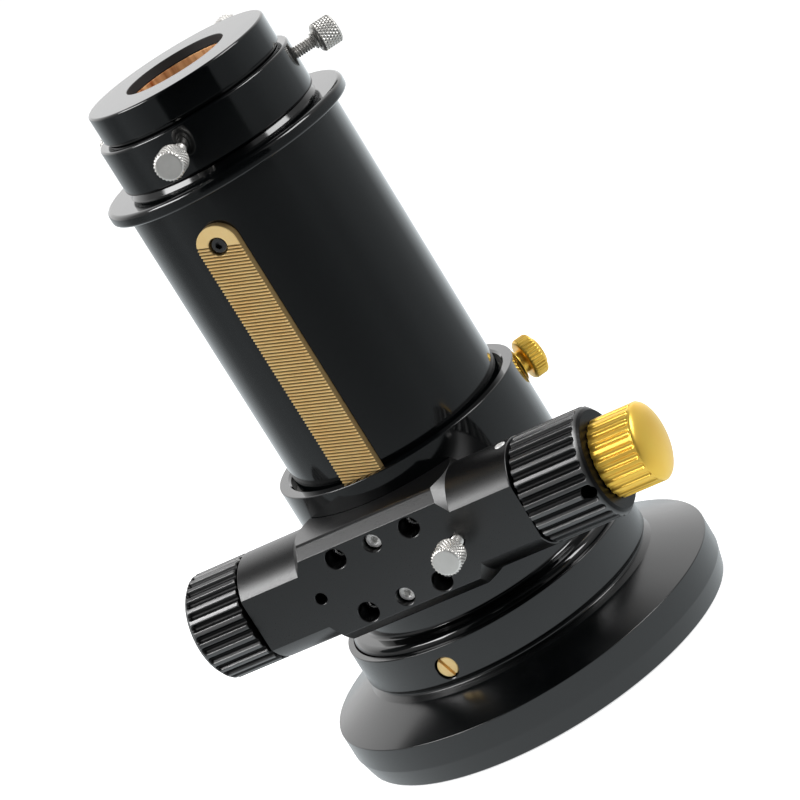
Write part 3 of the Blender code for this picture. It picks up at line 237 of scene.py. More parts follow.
slotFinish = {
    "gloss_black_anodised": glossBlack, "satin_black_anodised": satinBlack, "gold_anodised": gold,
    "brass": brass, "copper_alloy": copper, "bright_steel": steel, "black_oxide_steel": blackOxide,
    "white_guide_plastic": makeGrained("turnedWhiteAcetal", whiteAcetalLook),
    "black_guide_plastic": makeGrained("turnedBlackAcetal", blackAcetalLook),
    "bearing_bronze": makeGrained("sinteredBronze", bronzeLook)}
nodeSlot = {entry["node"]: entry["material_slot"] for entry in frame["record"]["subparts"]}
for nodeName, node in frame["nodes"].items():
    node.data.materials.clear()
    node.data.materials.append(slotFinish[nodeSlot[nodeName]])

print("shape tools")


def softened(corners, arcSteps=5):
    outline = []
    for step, corner in enumerate(corners):
        spot = Vector(corner[:2])
        radius = corner[2] if len(corner) > 2 else 0.0
        if not radius:
            outline.append((spot.x, spot.y))
            continue
        before = Vector(corners[step - 1][:2]) - spot
        after = Vector(corners[(step + 1) % len(corners)][:2]) - spot
        half = before.angle(after) / 2
        run = min(radius / math.tan(half), 0.49 * before.length, 0.49 * after.length)
        radius = run * math.tan(half)
        before.normalize()
        after.normalize()
        centre = spot + (before + after).normalized() * (radius / math.sin(half))
        first = spot + before * run - centre
        last = spot + after * run - centre
        start = math.atan2(first.y, first.x)
        sweep = math.atan2(last.y, last.x) - start
        sweep = (sweep + math.pi) % (2 * math.pi) - math.pi
        for part in range(arcSteps + 1):
            turn = start + sweep * part / arcSteps
            outline.append((centre.x + radius * math.cos(turn), centre.y + radius * math.sin(turn)))
    return outline


def finishPiece(name, body, material, sharp=32):
    bmesh.ops.remove_doubles(body, verts=body.verts, dist=1e-7)
    bmesh.ops.recalc_face_normals(body, faces=body.faces)
    mesh = bpy.data.meshes.new(name)
    body.to_mesh(mesh)
    body.free()
    mesh.shade_smooth()
    mesh.set_sharp_from_angle(angle=math.radians(sharp))
    mesh.materials.append(material)
    piece = bpy.data.objects.new(name, mesh)
    bpy.context.scene.collection.objects.link(piece)
    return piece


def ringOf(reaches, height):
    # one point for each reach, evenly round the axis
    ring = []
    for part, reach in enumerate(reaches):
        turn = 2 * math.pi * part / len(reaches)
        ring.append((reach * mm * math.cos(turn), reach * mm * math.sin(turn), height * mm))
    return ring


def roundRing(radius, height, around):
    return ringOf([radius] * around, height) if radius >= 1e-4 else [(0, 0, height * mm)]


def spinRings(body, rings, turns, place):
    # rings: one list of points per outline point, or one point on the axis
    made = []
    for ring in rings:
        made.append([body.verts.new(place @ Vector(spot)) for spot in ring])
    for first, second in zip(made, made[1:] + made[:1]):
        if len(first) == 1 and len(second) == 1:
            continue
        for step in range(turns):
            other = (step + 1) % turns
            corners = [first[step % len(first)], first[other % len(first)],
                       second[other % len(second)], second[step % len(second)]]
            body.faces.new(list(dict.fromkeys(corners)))


def lathe(name, corners, material, steps=160, place=Matrix()):
    # corners in millimetres: (radius, height) or (radius, height, rounding)
    body = bmesh.new()
    spinRings(body, [roundRing(radius, height, steps) for radius, height in softened(corners)], steps, place)
    return finishPiece(name, body, material)


def prism(name, outline, low, high, material, place=Matrix()):
    body = bmesh.new()
    floor, roof = ([body.verts.new(place @ Vector((x * mm, y * mm, level * mm))) for x, y in outline]
                   for level in (low, high))
    body.faces.new(floor)
    body.faces.new(roof)
    for step in range(len(outline)):
        other = (step + 1) % len(outline)
        body.faces.new([floor[step], floor[other], roof[other], roof[step]])
    return finishPiece(name, body, material)


def carve(piece, tool, operation="DIFFERENCE", sharp=32):
    change = piece.modifiers.new("carve", "BOOLEAN")
    change.operation = operation
    change.solver = "EXACT"
    change.object = tool
    view = bpy.context.evaluated_depsgraph_get()
    mesh = bpy.data.meshes.new_from_object(piece.evaluated_get(view))
    piece.modifiers.clear()
    mesh.shade_smooth()
    mesh.set_sharp_from_angle(angle=math.radians(sharp))
    piece.data = mesh
    bpy.data.objects.remove(tool, do_unlink=True)
    while len(mesh.materials) > 1:
        mesh.materials.pop()
    return piece


def drill(piece, corners, steps=48, place=Matrix(), sharp=32):
    carve(piece, lathe("drill", corners, piece.data.materials[0], steps, place), sharp=sharp)


def place(piece, bodyName, slotName, *cadNodes):
    even = piece.modifiers.new("evenNormals", "WEIGHTED_NORMAL")
    even.keep_sharp = True
    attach(piece, bodyName)
    if cadNodes:
        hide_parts(*cadNodes)
    return piece


def outward(degrees, height):
    aside = Matrix.Rotation(math.radians(degrees), 4, "Z") @ Matrix.Rotation(math.pi / 2, 4, "Y")
    return Matrix.Translation((0, 0, height * mm)) @ aside


def fromFront(x, z):
    return Matrix.Translation((x * mm, 0, z * mm)) @ Matrix.Rotation(math.pi / 2, 4, "X")


def hexagon(acrossFlats):
    corner = acrossFlats / math.sqrt(3)
    turns = [math.pi * side / 3 for side in range(6)]
    return [(corner * math.cos(turn), corner * math.sin(turn)) for turn in turns]


def boxOutline(left, low, right, high):
    return [(left, low), (right, low), (right, high), (left, high)]


print("flange")
flangeSize = {"rim": 63.0, "foot": 61.4, "footHeight": 6.3, "rimTop": 14.25, "slopeTop": 20.1, "neck": 47.7,
              "neckTop": 35.0, "neckBore": 45.6, "rimBore": 54.4, "ledge": 38.6, "screwAngle": -94.8,
              "screwHeight": 28.0, "screwRadius": 3.3, "slotTurn": -69}


def makeFlange():
    size = flangeSize
    neck, top, slope = size["neck"], size["neckTop"], size["slopeTop"]
    bore, ledge = size["neckBore"], size["ledge"]
    flange = lathe("flangeTurning", [
        (size["rimBore"], 0, 0.3), (size["foot"], 0, 0.5), (size["rim"], size["footHeight"], 0.8),
        (size["rim"], size["rimTop"], 0.35), (neck + 0.4, slope, 0.25), (neck - 1.4, slope + 1.5, 0.8),
        (neck - 1.4, slope + 2.2, 0.6), (neck, slope + 3.4, 1.2), (neck, top, 0.35), (bore, top, 0.2),
        (bore, 23.0), (ledge, 23.0, 0.3), (ledge, 19.0, 0.3), (bore, 19.0), (size["rimBore"], 9.75, 1.0)],
        turnedBlack, 288)
    radius = size["screwRadius"]
    spots = [outward(size["screwAngle"] + 120 * turn, size["screwHeight"]) for turn in range(3)]
    for spot in spots:
        hole = radius + 0.3
        drill(flange, [(0, 43.0), (hole, 43.0), (hole, neck - 0.25), (hole + 0.6, neck + 0.35),
                       (0, neck + 0.35)], 48, spot)
    place(flange, "flange", "gloss_black_anodised", "telescope_flange")
    for turn, spot in enumerate(spots):
        spot = spot @ Matrix.Rotation(math.radians(size["slotTurn"]), 4, "Z")
        end = neck - 0.6
        screw = lathe(f"brassGrubScrew{turn + 1}", [
            (0, 43.4), (0.5, 43.4), (radius, 46.2), (radius, end, 0.35), (0, end)], brass, 64, spot)
        carve(screw, prism("slot", boxOutline(-0.55, -4, 0.55, 4), end - 1.1, end + 2, brass, spot))
        place(screw, "flange", "brass", f"body_lock_screw_{turn + 1}")


makeFlange()

print("rotating body")
bodySize = {"outer": 39.7, "lip": 45.3, "low": 23.3, "lipTop": 37.0, "top": 88.0, "bore": 36.0,
            "keyHalf": 6.85, "keyReach": 37.4, "goldAngle": 38.5, "goldHeight": 80.2}


def makeBody():
    size = bodySize
    outer, lip, top, bore = (size[key] for key in ("outer", "lip", "top", "bore"))
    body = lathe("bodyTurning", [
        (bore, size["low"], 0.3), (lip, size["low"], 0.3), (lip, 25.0), (42.3, 28.0), (lip, 31.0),
        (lip, size["lipTop"], 2.2), (outer + 0.1, size["lipTop"] + 0.5, 1.2), (outer, top, 0.35),
        (bore + 0.6, top, 0.1), (bore, top - 0.6)], glossBlack, 288)
    keyway = boxOutline(-size["keyHalf"], -size["keyReach"], size["keyHalf"], 0)
    carve(body, prism("keyway", keyway, 10, 100, glossBlack))
    drill(body, [(0, 30), (2.2, 30), (2.2, 60), (0, 60)], 48, outward(size["goldAngle"], size["goldHeight"]))
    return place(body, "body", "satin_black_anodised", "focuser_body")


makeBody()

print("pinion block")
blockSize = {"barrel": 16.4, "halfLength": 46.5, "flat": 13.84, "half": 23.3, "shoulder": 2.9,
             "halfHeight": 16.5, "bevel": 3.5, "column": 12.66, "row": 9.3, "hole": 3.2, "shank": 2.0,
             "headSeat": 9.3, "capSink": 6.0, "sideHole": 23.5, "spare": 1.85, "tensionSink": 2.3,
             "bearing": 9.3, "shaft": 3.8, "setScrewAt": 43.7}
blockFront = blockSize["flat"] - pinionAxis["y"]
axisHeight = pinionAxis["z"]
pinionPlace = Matrix.Translation((0, pinionAxis["y"] * mm, axisHeight * mm)) @ Matrix.Rotation(
    math.pi / 2, 4, "Y")
setScrewPlace = Matrix.Translation((blockSize["setScrewAt"] * mm, pinionAxis["y"] * mm, axisHeight * mm))
boltPlaces = [(x, axisHeight + z) for x in (-blockSize["column"], blockSize["column"])
              for z in (-blockSize["row"], blockSize["row"])]
tensionPlaces = [(0, axisHeight + z) for z in (-blockSize["row"], blockSize["row"])]


def makeBlock():
    size = blockSize
    reach, barrel, half = size["halfLength"], size["barrel"], size["half"]
    envelope, start = barrel + size["shoulder"], half + size["shoulder"]
    block = lathe("blockMilling", [
        (0, -reach), (barrel, -reach, 0.35), (barrel, -start), (envelope, -half), (envelope, half),
        (barrel, start), (barrel, reach, 0.35), (0, reach)], satinBlack, 192, pinionPlace)
    tall, front, bevel = size["halfHeight"], blockFront, size["bevel"]
    shape = softened([(0, -tall), (front - bevel, -tall, 0.4), (front, bevel - tall, 0.4),
                      (front, tall - bevel, 0.4), (front - bevel, tall, 0.4), (0, tall)], 3)
    sideways = Matrix.Translation((0, 0, axisHeight * mm)) @ Matrix(
        ((0, 0, 1, 0), (-1, 0, 0, 0), (0, 1, 0, 0), (0, 0, 0, 1)))
    carve(block, prism("milling", shape, -90, 90, satinBlack, sideways), "INTERSECT")
    saddle = bodySize["outer"] + 0.3
    drill(block, [(0, 0), (saddle, 0), (saddle, 160), (0, 160)], 288)
    bearing, shaft = size["bearing"], size["shaft"]
    drill(block, [(0, -47), (bearing, -47), (bearing, -40.9), (shaft, -40.9), (shaft, 28.7), (bearing, 28.7),
                  (bearing, 47), (0, 47)], 64, pinionPlace)
    head, shank, seat = size["hole"], size["shank"], front - size["headSeat"]
    for x, z in boltPlaces:
        drill(block, [(0, 20), (shank, 20), (shank, seat), (head, seat), (head, front - 0.2),
                      (head + 0.5, front + 0.3), (0, front + 0.3)], 48, fromFront(x, z))
    for x, z in tensionPlaces:
        drill(block, [(0, 46.5), (2.8, 46.5), (2.8, front - 0.2), (3.3, front + 0.3), (0, front + 0.3)],
              48, fromFront(x, z))
    for x, hole in ((size["sideHole"], 2.2), (-size["sideHole"], size["spare"])):
        drill(block, [(0, 39.5), (hole, 39.5), (hole, front - 0.15), (hole + 0.45, front + 0.3),
                      (0, front + 0.3)], 40, fromFront(x, axisHeight))
    drill(block, [(0, 9), (1.9, 9), (1.9, 40), (0, 40)], 40, setScrewPlace)
    pocket = boxOutline(-7.0, -46.8, 7.0, 0)
    carve(block, prism("pocket", pocket, axisHeight - 12.3, axisHeight + 12.3, satinBlack))
    return place(block, "body", "satin_black_anodised", "pinion_block")


makeBlock()


def socketScrew(name, corners, acrossFlats, floor, top, material, spot, bodyName, slotName, cadNode):
    screw = lathe(name, corners, material, 56, spot)
    carve(screw, prism("socket", hexagon(acrossFlats), floor, top + 2, material, spot))
    return place(screw, bodyName, slotName, cadNode)


def makeBlockScrews():
    top = blockFront - blockSize["capSink"]
    for count, (x, z) in enumerate(boltPlaces, 1):
        screw = socketScrew(f"capScrew{count}", [
            (0, 38), (1.7, 38), (1.7, top - 3), (2.9, top - 3, 0.1), (2.9, top, 0.5), (1.9, top),
            (1.5, top - 0.4), (0, top - 0.4)], 2.5, top - 1.6, top, blackOxide, fromFront(x, z),
            "body", "black_oxide_steel", f"block_screw_{count}")
        # painted highlight: the cone round the socket takes the pale nickel finish, so that it glints in its
        # hole
        screw.data.materials.append(brightSteel)
        for face in screw.data.polygons:
            reach = math.hypot(face.center.x - x * mm, face.center.z - z * mm)
            if 1.45 * mm < reach < 1.95 * mm and 0.3 < abs(face.normal.y) < 0.95:
                face.material_index = 1
    top = blockFront - blockSize["tensionSink"]
    for count, (x, z) in enumerate(tensionPlaces, 1):
        socketScrew(f"tensionScrew{count}", [
            (0, 47.1), (2.5, 47.1), (2.5, top, 0.3), (1.5, top), (1.15, top - 0.3), (0, top - 0.3)],
            2.0, top - 2.2, top, brightSteel, fromFront(x, z), "body", "bright_steel",
            f"tension_screw_{count}")
    top = blockSize["barrel"] + 0.15
    socketScrew("bearingSetScrew", [(0, 9.4), (1.7, 9.4), (1.7, top, 0.45), (0, top)], 1.4, top - 1.5, top,
                brightSteel, setScrewPlace, "body", "bright_steel", "bearing_screw")


makeBlockScrews()

print("knobs")
coarseKnob = {"radius": 16.4, "start": 47.6, "leftEnd": 66.5, "rightEnd": 70.1, "flutes": 28,
              "halfGroove": 1.12, "depth": 1.2, "scallop": 0.2, "chamfer": 1.6, "recess": 3.8,
              "grubInset": 3.1, "leftGrub": -85, "rightGrub": 95}
fineKnob = {"radius": 11.85, "start": 70.4, "end": 83.8, "dome": 3.3, "flutes": 22, "halfGroove": 0.98,
            "depth": 0.8, "band": 0.15, "domeShape": 1.1}
# cross-section of a flute: (distance from its middle in half widths, share of its depth), rolled shoulders
fluteSection = [(0.0, 1.0), (0.35, 0.95), (0.6, 0.82), (0.8, 0.62), (0.93, 0.38), (1.0, 0.2), (1.08, 0.08),
                (1.18, 0.02), (1.3, 0.0)]


def fluteShare(distance):
    for (near, deep), (far, shallow) in zip(fluteSection, fluteSection[1:]):
        if distance <= far:
            return deep + (shallow - deep) * (distance - near) / (far - near)
    return 0.0


def flutedKnob(name, size, runOut, spans, material, side=1):
    # spans: (radius, place) from the open end to the closed face; past runOut the flutes end in a half round
    radius, half = size["radius"], size["halfGroove"]
    pitch = 2 * math.pi / size["flutes"]
    offsets = [-step for step, share in fluteSection[:0:-1]] + [step for step, share in fluteSection]
    turns = []
    for flute in range(size["flutes"]):
        turns += [(flute * pitch + offset * half / radius, offset) for offset in offsets]
    rings = []
    for reach, height in spans:
        if reach < 1e-4:
            rings.append([(0, 0, side * height * mm)])
            continue
        past = max(0.0, (height - runOut) / half)
        ring = []
        for turn, offset in turns:
            sunk = size["depth"] * fluteShare(math.hypot(offset, past))
            actual = min(reach, radius - sunk) * mm
            ring.append((actual * math.cos(turn), actual * math.sin(turn), side * height * mm))
        rings.append(ring)
    body = bmesh.new()
    spinRings(body, rings, len(turns), pinionPlace)
    return finishPiece(name, body, material, 38)


def fluteSpans(size, runOut, edge):
    # from the start to the edge where a chamfer or dome begins
    radius, half, start = size["radius"], size["halfGroove"], size["start"]
    spans = [(radius - 0.3, start), (radius, start + 0.3), (radius, runOut)]
    for past in (0.2, 0.35, 0.5, 0.6, 0.7, 0.8, 0.87, 0.93, 1.0, 1.08, 1.18, 1.3):
        height = runOut + half * past
        if height < edge - 0.04:
            spans.append((radius, height))
    return spans


def makeCoarseKnobs():
    size = coarseKnob
    radius, chamfer = size["radius"], size["chamfer"]
    for side, label, end, bore, turn in ((-1, "left", size["leftEnd"], 3.3, size["leftGrub"]),
                                         (1, "right", size["rightEnd"], 5.3, size["rightGrub"])):
        edge, floor = end - chamfer, end - size["recess"]
        runOut = edge + size["scallop"] - size["halfGroove"]
        spans = [(bore, size["start"]), (radius - 1.5, size["start"])] + fluteSpans(size, runOut, edge)
        spans += [(radius - step, edge + step) for step in (0.0, 0.1, 0.2, 0.3, 0.4, 0.6, chamfer - 0.15)]
        spans += [(radius - chamfer - 0.1, end)]
        if side < 0:  # closed by a thin cover, where the right one is open for the fine shaft
            spans += [(radius - 4.0, end), (radius - 4.4, end - 0.4), (0, end - 0.4), (0, floor)]
        else:
            spans += [(2.4, end), (2.4, floor)]
        spans += [(bore, floor)]
        knob = flutedKnob("coarseKnob" + label.title(), size, runOut, spans, knobBlack, side)
        across = Matrix.Translation((side * (end - size["grubInset"]) * mm, pinionAxis["y"] * mm,
                                     axisHeight * mm)) @ Matrix.Rotation(math.radians(turn), 4, "X")
        drill(knob, [(0, 4), (2.35, 4), (2.35, radius - 0.3), (2.75, radius + 0.1), (2.75, 20), (0, 20)],
              48, across, 38)
        place(knob, "pinion", "satin_black_anodised", "coarse_knob_" + label)
        top = bore + 4
        socketScrew("grubScrew" + label.title(), [(0, bore), (2.0, bore), (2.0, top, 0.3), (0, top)], 2.0,
                    bore + 2, top, blackOxide, across, "pinion", "black_oxide_steel", "grub_screw_" + label)


def makeFineKnob():
    size = fineKnob
    radius, end = size["radius"], size["end"]
    rim = radius - 0.12
    runOut = end - size["band"] - size["halfGroove"]
    spans = [(2.4, size["start"]), (radius - 1.4, size["start"])] + fluteSpans(size, runOut, end)
    spans += [(radius, end - 0.03), (rim, end + 0.03)]
    for turn in range(1, 15):
        share = math.radians(90 - 6.4 * turn)
        spans.append((rim * math.sin(share), end + size["dome"] * math.cos(share) ** size["domeShape"]))
    spans += [(0, end + size["dome"]), (0, end - 2), (2.4, end - 2)]
    return place(flutedKnob("fineKnobDome", size, runOut, spans, gold), "fine", "gold_anodised", "fine_knob")


makeCoarseKnobs()
makeFineKnob()

print("drawtube and rack")
tubeSize = {"radius": 34.5, "bore": 31.5, "low": 38.0, "top": 181.2}
rackSize = {"width": 12.7, "low": 52.0, "top": 173.2, "face": 36.9, "back": 33.2, "module": 0.3175,
            "helix": 17.7, "pressure": 20, "slack": 0.02, "headSeat": 34.1, "head": 35.9}
facingFront = Matrix(((1, 0, 0, 0), (0, 0, -1, 0), (0, 1, 0, 0), (0, 0, 0, 1)))


def rackEnds(spare):
    half = rackSize["width"] / 2 + spare
    low, high = rackSize["low"] + rackSize["width"] / 2, rackSize["top"] - rackSize["width"] / 2
    turns = [math.pi * step / 32 for step in range(33)]
    return ([(half * math.cos(turn), high + half * math.sin(turn)) for turn in turns]
            + [(-half * math.cos(turn), low - half * math.sin(turn)) for turn in turns])


def makeDrawtube():
    bore, radius, low, top = (tubeSize[key] for key in ("bore", "radius", "low", "top"))
    tube = lathe("drawtubeTurning", [
        (bore, low, 0.4), (radius, low, 0.5), (radius, top, 0.3), (bore, top, 0.3)], glossBlack, 288)
    carve(tube, prism("rackSeat", rackEnds(0.08), rackSize["back"] - 0.3, 60, glossBlack, facingFront))
    return place(tube, "drawtube", "gloss_black_anodised", "drawtube")


def makeRack():
    size = rackSize
    face, back, low, high = (size[key] for key in ("face", "back", "low", "top"))
    helix = math.radians(size["helix"])
    pitch = math.pi * size["module"] / math.cos(helix)
    slope = math.tan(math.radians(size["pressure"])) / math.cos(helix)
    thick, depth = pitch / 2 - size["slack"], 2.25 * size["module"]
    tipHalf, rootHalf = thick / 2 - size["module"] * slope, thick / 2 + (depth - size["module"]) * slope
    shear, half = math.tan(helix), size["width"] / 2 + 0.3
    spare = shear * half + 0.3
    first = math.ceil((low + size["width"] / 2 - axisHeight) / pitch)
    last = math.floor((high - size["width"] / 2 - axisHeight) / pitch)
    root = face - depth
    before, after = axisHeight + (first - 1) * pitch, axisHeight + (last + 1) * pitch
    outline = [(back, low - spare), (face, low - spare), (face, before + tipHalf), (root, before + rootHalf)]
    for tooth in range(first, last + 1):
        centre = axisHeight + tooth * pitch
        outline += [(root, centre - rootHalf), (face, centre - tipHalf),
                    (face, centre + tipHalf), (root, centre + rootHalf)]
    outline += [(root, after - rootHalf), (face, after - tipHalf), (face, high + spare), (back, high + spare)]
    body = bmesh.new()
    sides = [[body.verts.new((x * mm, -y * mm, (z - shear * x) * mm)) for y, z in outline]
             for x in (-half, half)]
    body.faces.new(sides[0])
    body.faces.new(sides[1])
    for step in range(len(outline)):
        other = (step + 1) % len(outline)
        body.faces.new([sides[0][step], sides[0][other], sides[1][other], sides[1][step]])
    rack = finishPiece("helicalRack", body, brass, 20)
    carve(rack, prism("rackEnds", rackEnds(0), 0, 80, brass, facingFront), "INTERSECT", 20)
    seat, top = size["headSeat"], size["head"]
    for count, z in enumerate((high - size["width"] / 2, low + size["width"] / 2), 1):
        spot = fromFront(0, z)
        drill(rack, [(0, 20), (1.5, 20), (1.5, seat), (2.85, seat), (2.85, face - 0.15), (3.2, face + 0.2),
                     (0, face + 0.2)], 48, spot, 20)
        socketScrew(f"rackCapScrew{count}", [
            (0, 31.8), (1.2, 31.8), (1.2, 34.4), (2.5, 34.4, 0.1), (2.5, top, 0.5), (0, top)], 2.1,
            top - 1.3, top, blackOxide, spot, "drawtube", "black_oxide_steel", f"rack_screw_{count}")
    return place(rack, "drawtube", "brass", "rack")


makeDrawtube()
makeRack()

print("eyepiece end")
eyepieceEnd = {"ringLow": 181.5, "ringTop": 185.35, "ring": 39.2, "neckTop": 187.25, "holderTop": 201.85,
               "holder": 31.3, "neck": 30.0, "holderBore": 25.55, "capLow": 202.15, "capTop": 211.95,
               "cap": 29.1, "bore": 15.95, "screwHeight": 195.35, "capScrewHeight": 206.05, "firstScrew": -84}


def makeEyepieceEnd():
    size = eyepieceEnd
    ring = lathe("endRing", [
        (29.0, 173.5, 0.2), (31.2, 173.5, 0.2), (31.2, size["ringLow"]), (size["ring"], size["ringLow"], 0.9),
        (size["ring"], size["ringTop"], 1.3), (29.0, size["ringTop"])], glossBlack, 288)
    place(ring, "drawtube", "gloss_black_anodised", "end_ring")
    bore, recess, outer, neck = size["holderBore"], 26.9, size["holder"], size["neck"]
    low, high = size["screwHeight"] - 4.3, size["screwHeight"] + 4.3
    holder = lathe("holderTurning", [
        (bore, 177.65, 0.2), (28.7, 177.65, 0.2), (28.7, size["ringTop"]), (neck + 0.95, size["ringTop"]),
        (neck, size["neckTop"]), (outer, size["neckTop"], 0.6), (outer, size["holderTop"], 0.7),
        (bore, size["holderTop"], 0.3), (bore, high), (recess, high), (recess, low), (bore, low)],
        glossBlack, 288)
    for turn in range(3):
        drill(holder, [(0, 24), (2.05, 24), (2.05, 40), (0, 40)], 40,
              outward(size["firstScrew"] + 120 * turn, size["screwHeight"]))
    place(holder, "drawtube", "gloss_black_anodised", "eyepiece_holder")
    bore, recess, outer, base, top = size["bore"], 17.3, size["cap"], size["capLow"], size["capTop"]
    low, high = size["capScrewHeight"] - 3.3, size["capScrewHeight"] + 3.3
    cap = lathe("adapterTurning", [
        (bore, base - 27.0, 0.3), (25.25, base - 27.0, 0.5), (25.25, base), (outer - 1.0, base),
        (outer - 1.0, base + 0.7), (outer, base + 0.7, 0.5), (outer, top, 0.75), (bore + 0.1, top, 0.25),
        (bore + 0.1, high), (recess, high), (recess, low), (bore, low)], glossBlack, 288)
    drill(cap, [(0, 14), (2.2, 14), (2.2, 40), (0, 40)], 40, outward(90, size["capScrewHeight"]))
    cap.data.materials.append(boreBlack)
    for face in cap.data.polygons:
        if face.center.to_2d().length < (bore + 0.3) * mm and abs(face.normal.z) < 0.7:
            face.material_index = 1
    place(cap, "adapter", "gloss_black_anodised", "eyepiece_adapter")
    for name, inner, outer, middle, half, bodyName, cadNode in (
            ("copperClampNarrow", 16.1, 17.0, size["capScrewHeight"], 3.0, "adapter", "clamp_ring_narrow"),
            ("copperClampWide", 25.7, 26.6, size["screwHeight"], 4.0, "drawtube", "clamp_ring_wide")):
        strip = lathe(name, [(inner, middle - half, 0.2), (outer, middle - half), (outer, middle + half),
                             (inner, middle + half, 0.2)], copper, 160)
        carve(strip, prism("slit", boxOutline(-60, -0.45, 0, 0.45), middle - 8, middle + 8, copper))
        place(strip, bodyName, "copper_alloy", cadNode)


makeEyepieceEnd()

print("thumbscrews")
thumbSize = {"shank": 1.9, "neck": 2.6, "neckLength": 1.2, "head": 4.5, "headLength": 6.6, "chamfer": 0.55,
             "knurl": 1.05, "knurlDepth": 0.33, "thread": 0.8, "threadDepth": 0.42, "facing": 0.28}


def threadedShank(name, tip, top, spot, around=40):
    size = thumbSize
    rings = [roundRing(0, tip, around), roundRing(size["shank"] - 0.4, tip, around)]
    start = tip + 0.3
    count = max(2, int(round((top - start) / size["thread"] * 8)))
    for step in range(count + 1):
        height = start + (top - start) * step / count
        waves = [(height / size["thread"] - part / around) % 1.0 for part in range(around)]
        reaches = [size["shank"] - size["threadDepth"] * abs(2 * wave - 1) for wave in waves]
        rings.append(ringOf(reaches, height))
    rings += [roundRing(0, top, around)]
    body = bmesh.new()
    spinRings(body, rings, around, spot)
    return finishPiece(name, body, steel, 50)


def makeThumbscrew(name, spot, tip, neckStart, bodyName, cadNode):
    size = thumbSize
    radius, edge, neck, collarTop = size["head"], size["chamfer"], size["neck"], size["neckLength"]
    collar = neckStart + collarTop
    top = collar + size["headLength"]
    crossings = int(round(2 * math.pi * radius / size["knurl"] / 2)) * 2
    around = crossings * 8
    profile = [(0, 0), (neck - 0.3, 0), (neck - 0.05, 0.1), (neck, 0.3), (neck - 0.05, 0.5),
               (neck - 0.5, 0.62), (neck - 0.5, 0.78), (neck + 0.25, 0.9), (neck + 0.35, 1.05),
               (neck + 0.35, collarTop), (radius - edge, collarTop), (radius - 0.05, collarTop + edge)]
    rings = [roundRing(reach, neckStart + rise, around) for reach, rise in profile]
    rise = size["headLength"] - 2 * edge
    levels = int(round(rise / size["knurl"] * 8))
    for step in range(levels + 1):
        height = collar + edge + rise * step / levels
        lift = (height - collar) / size["knurl"] * 0.62
        reaches = []
        for part in range(around):
            share = part / around * crossings
            ridges = max(abs(((share + lift) % 1.0) * 2 - 1), abs(((share - lift) % 1.0) * 2 - 1))
            reaches.append(radius - size["knurlDepth"] * max(0.0, ridges - 0.25) / 0.75)
        rings.append(ringOf(reaches, height))
    end = radius - edge
    rings += [roundRing(end - 0.05, top - 0.08, around), roundRing(end - 0.2, top, around)]
    facing = end - 0.45
    while facing > 0.3:  # shallow rings left by the facing tool
        rings += [roundRing(facing, top - 0.02, around), roundRing(facing - size["facing"] / 2, top, around)]
        facing -= size["facing"]
    rings += [roundRing(0, top, around)]
    body = bmesh.new()
    spinRings(body, rings, around, spot)
    place(finishPiece(name, body, steel, 60), bodyName, "bright_steel", cadNode)
    place(threadedShank(name + "Thread", tip, neckStart + 0.05, spot), bodyName, "bright_steel")


def makeThumbscrews():
    size = eyepieceEnd
    for turn in range(3):
        spot = outward(size["firstScrew"] + 120 * turn, size["screwHeight"])
        screw = f"holder_thumbscrew_{turn + 1}"
        makeThumbscrew(f"holderThumbscrew{turn + 1}", spot, 26.9, 37.9, screw, screw)
    makeThumbscrew("adapterThumbscrew", outward(90, size["capScrewHeight"]), 17.3, 36.1, "adapter_thumbscrew",
                   "adapter_thumbscrew")
    makeThumbscrew("blockThumbscrew", fromFront(blockSize["sideHole"], axisHeight), 42.7, blockFront + 5.2,
                   "block_thumbscrew", "block_thumbscrew")


makeThumbscrews()

print("gold lock screw")
goldScrew = {"washer": 5.5, "washerHeight": 0.5, "neck": 3.6, "neckLength": 1.7, "head": 6.6,
             "headLength": 4.9, "button": 4.6, "buttonHeight": 0.8, "teeth": 34, "toothDepth": 0.3,
             "round": 0.9}


def makeGoldScrew():
    size = goldScrew
    spot = outward(bodySize["goldAngle"], bodySize["goldHeight"])
    low = bodySize["outer"] + 0.3
    high = low + size["washerHeight"]
    washer = lathe("goldWasher", [
        (2.2, low), (size["washer"], low, 0.2), (size["washer"], high, 0.3), (2.2, high)], gold, 96, spot)
    place(washer, "body", "gold_anodised", "lock_washer")
    neck = high + 0.3
    head = neck + size["neckLength"]
    top = head + size["headLength"]
    around = size["teeth"] * 8
    radius, soft, button = size["head"], size["round"], size["button"]
    waves = [abs((part / 8 % 1.0) * 2 - 1) for part in range(around)]
    knurl = [radius - size["toothDepth"] * max(0.0, wave - 0.4) / 0.6 for wave in waves]
    rolled = []  # the edges above and below the knurled band
    for turn in (0, 30, 60):
        angle = math.radians(turn)
        rolled.append((radius - 0.1 - soft * (1 - math.sin(angle)), soft * (1 - math.cos(angle))))
    rings = [roundRing(0, 34.8, around), roundRing(1.9, 34.8, around), roundRing(1.9, neck, around),
             roundRing(size["neck"], neck, around), roundRing(size["neck"], head, around)]
    rings += [roundRing(reach, head + rise, around) for reach, rise in rolled]
    rings += [ringOf(knurl, head + soft), ringOf(knurl, top - soft)]
    rings += [roundRing(reach, top - rise, around) for reach, rise in reversed(rolled)]
    high = top + size["buttonHeight"]
    rings += [roundRing(button + 0.2, top, around), roundRing(button, top + 0.15, around),
              roundRing(button - 0.1, high - 0.3, around), roundRing(button - 0.4, high, around),
              roundRing(0, high, around)]
    body = bmesh.new()
    spinRings(body, rings, around, spot)
    screw = finishPiece("goldLockScrew", body, gold, 40)
    return place(screw, "drawtube_lock_screw", "gold_anodised", "drawtube_lock_screw")


makeGoldScrew()

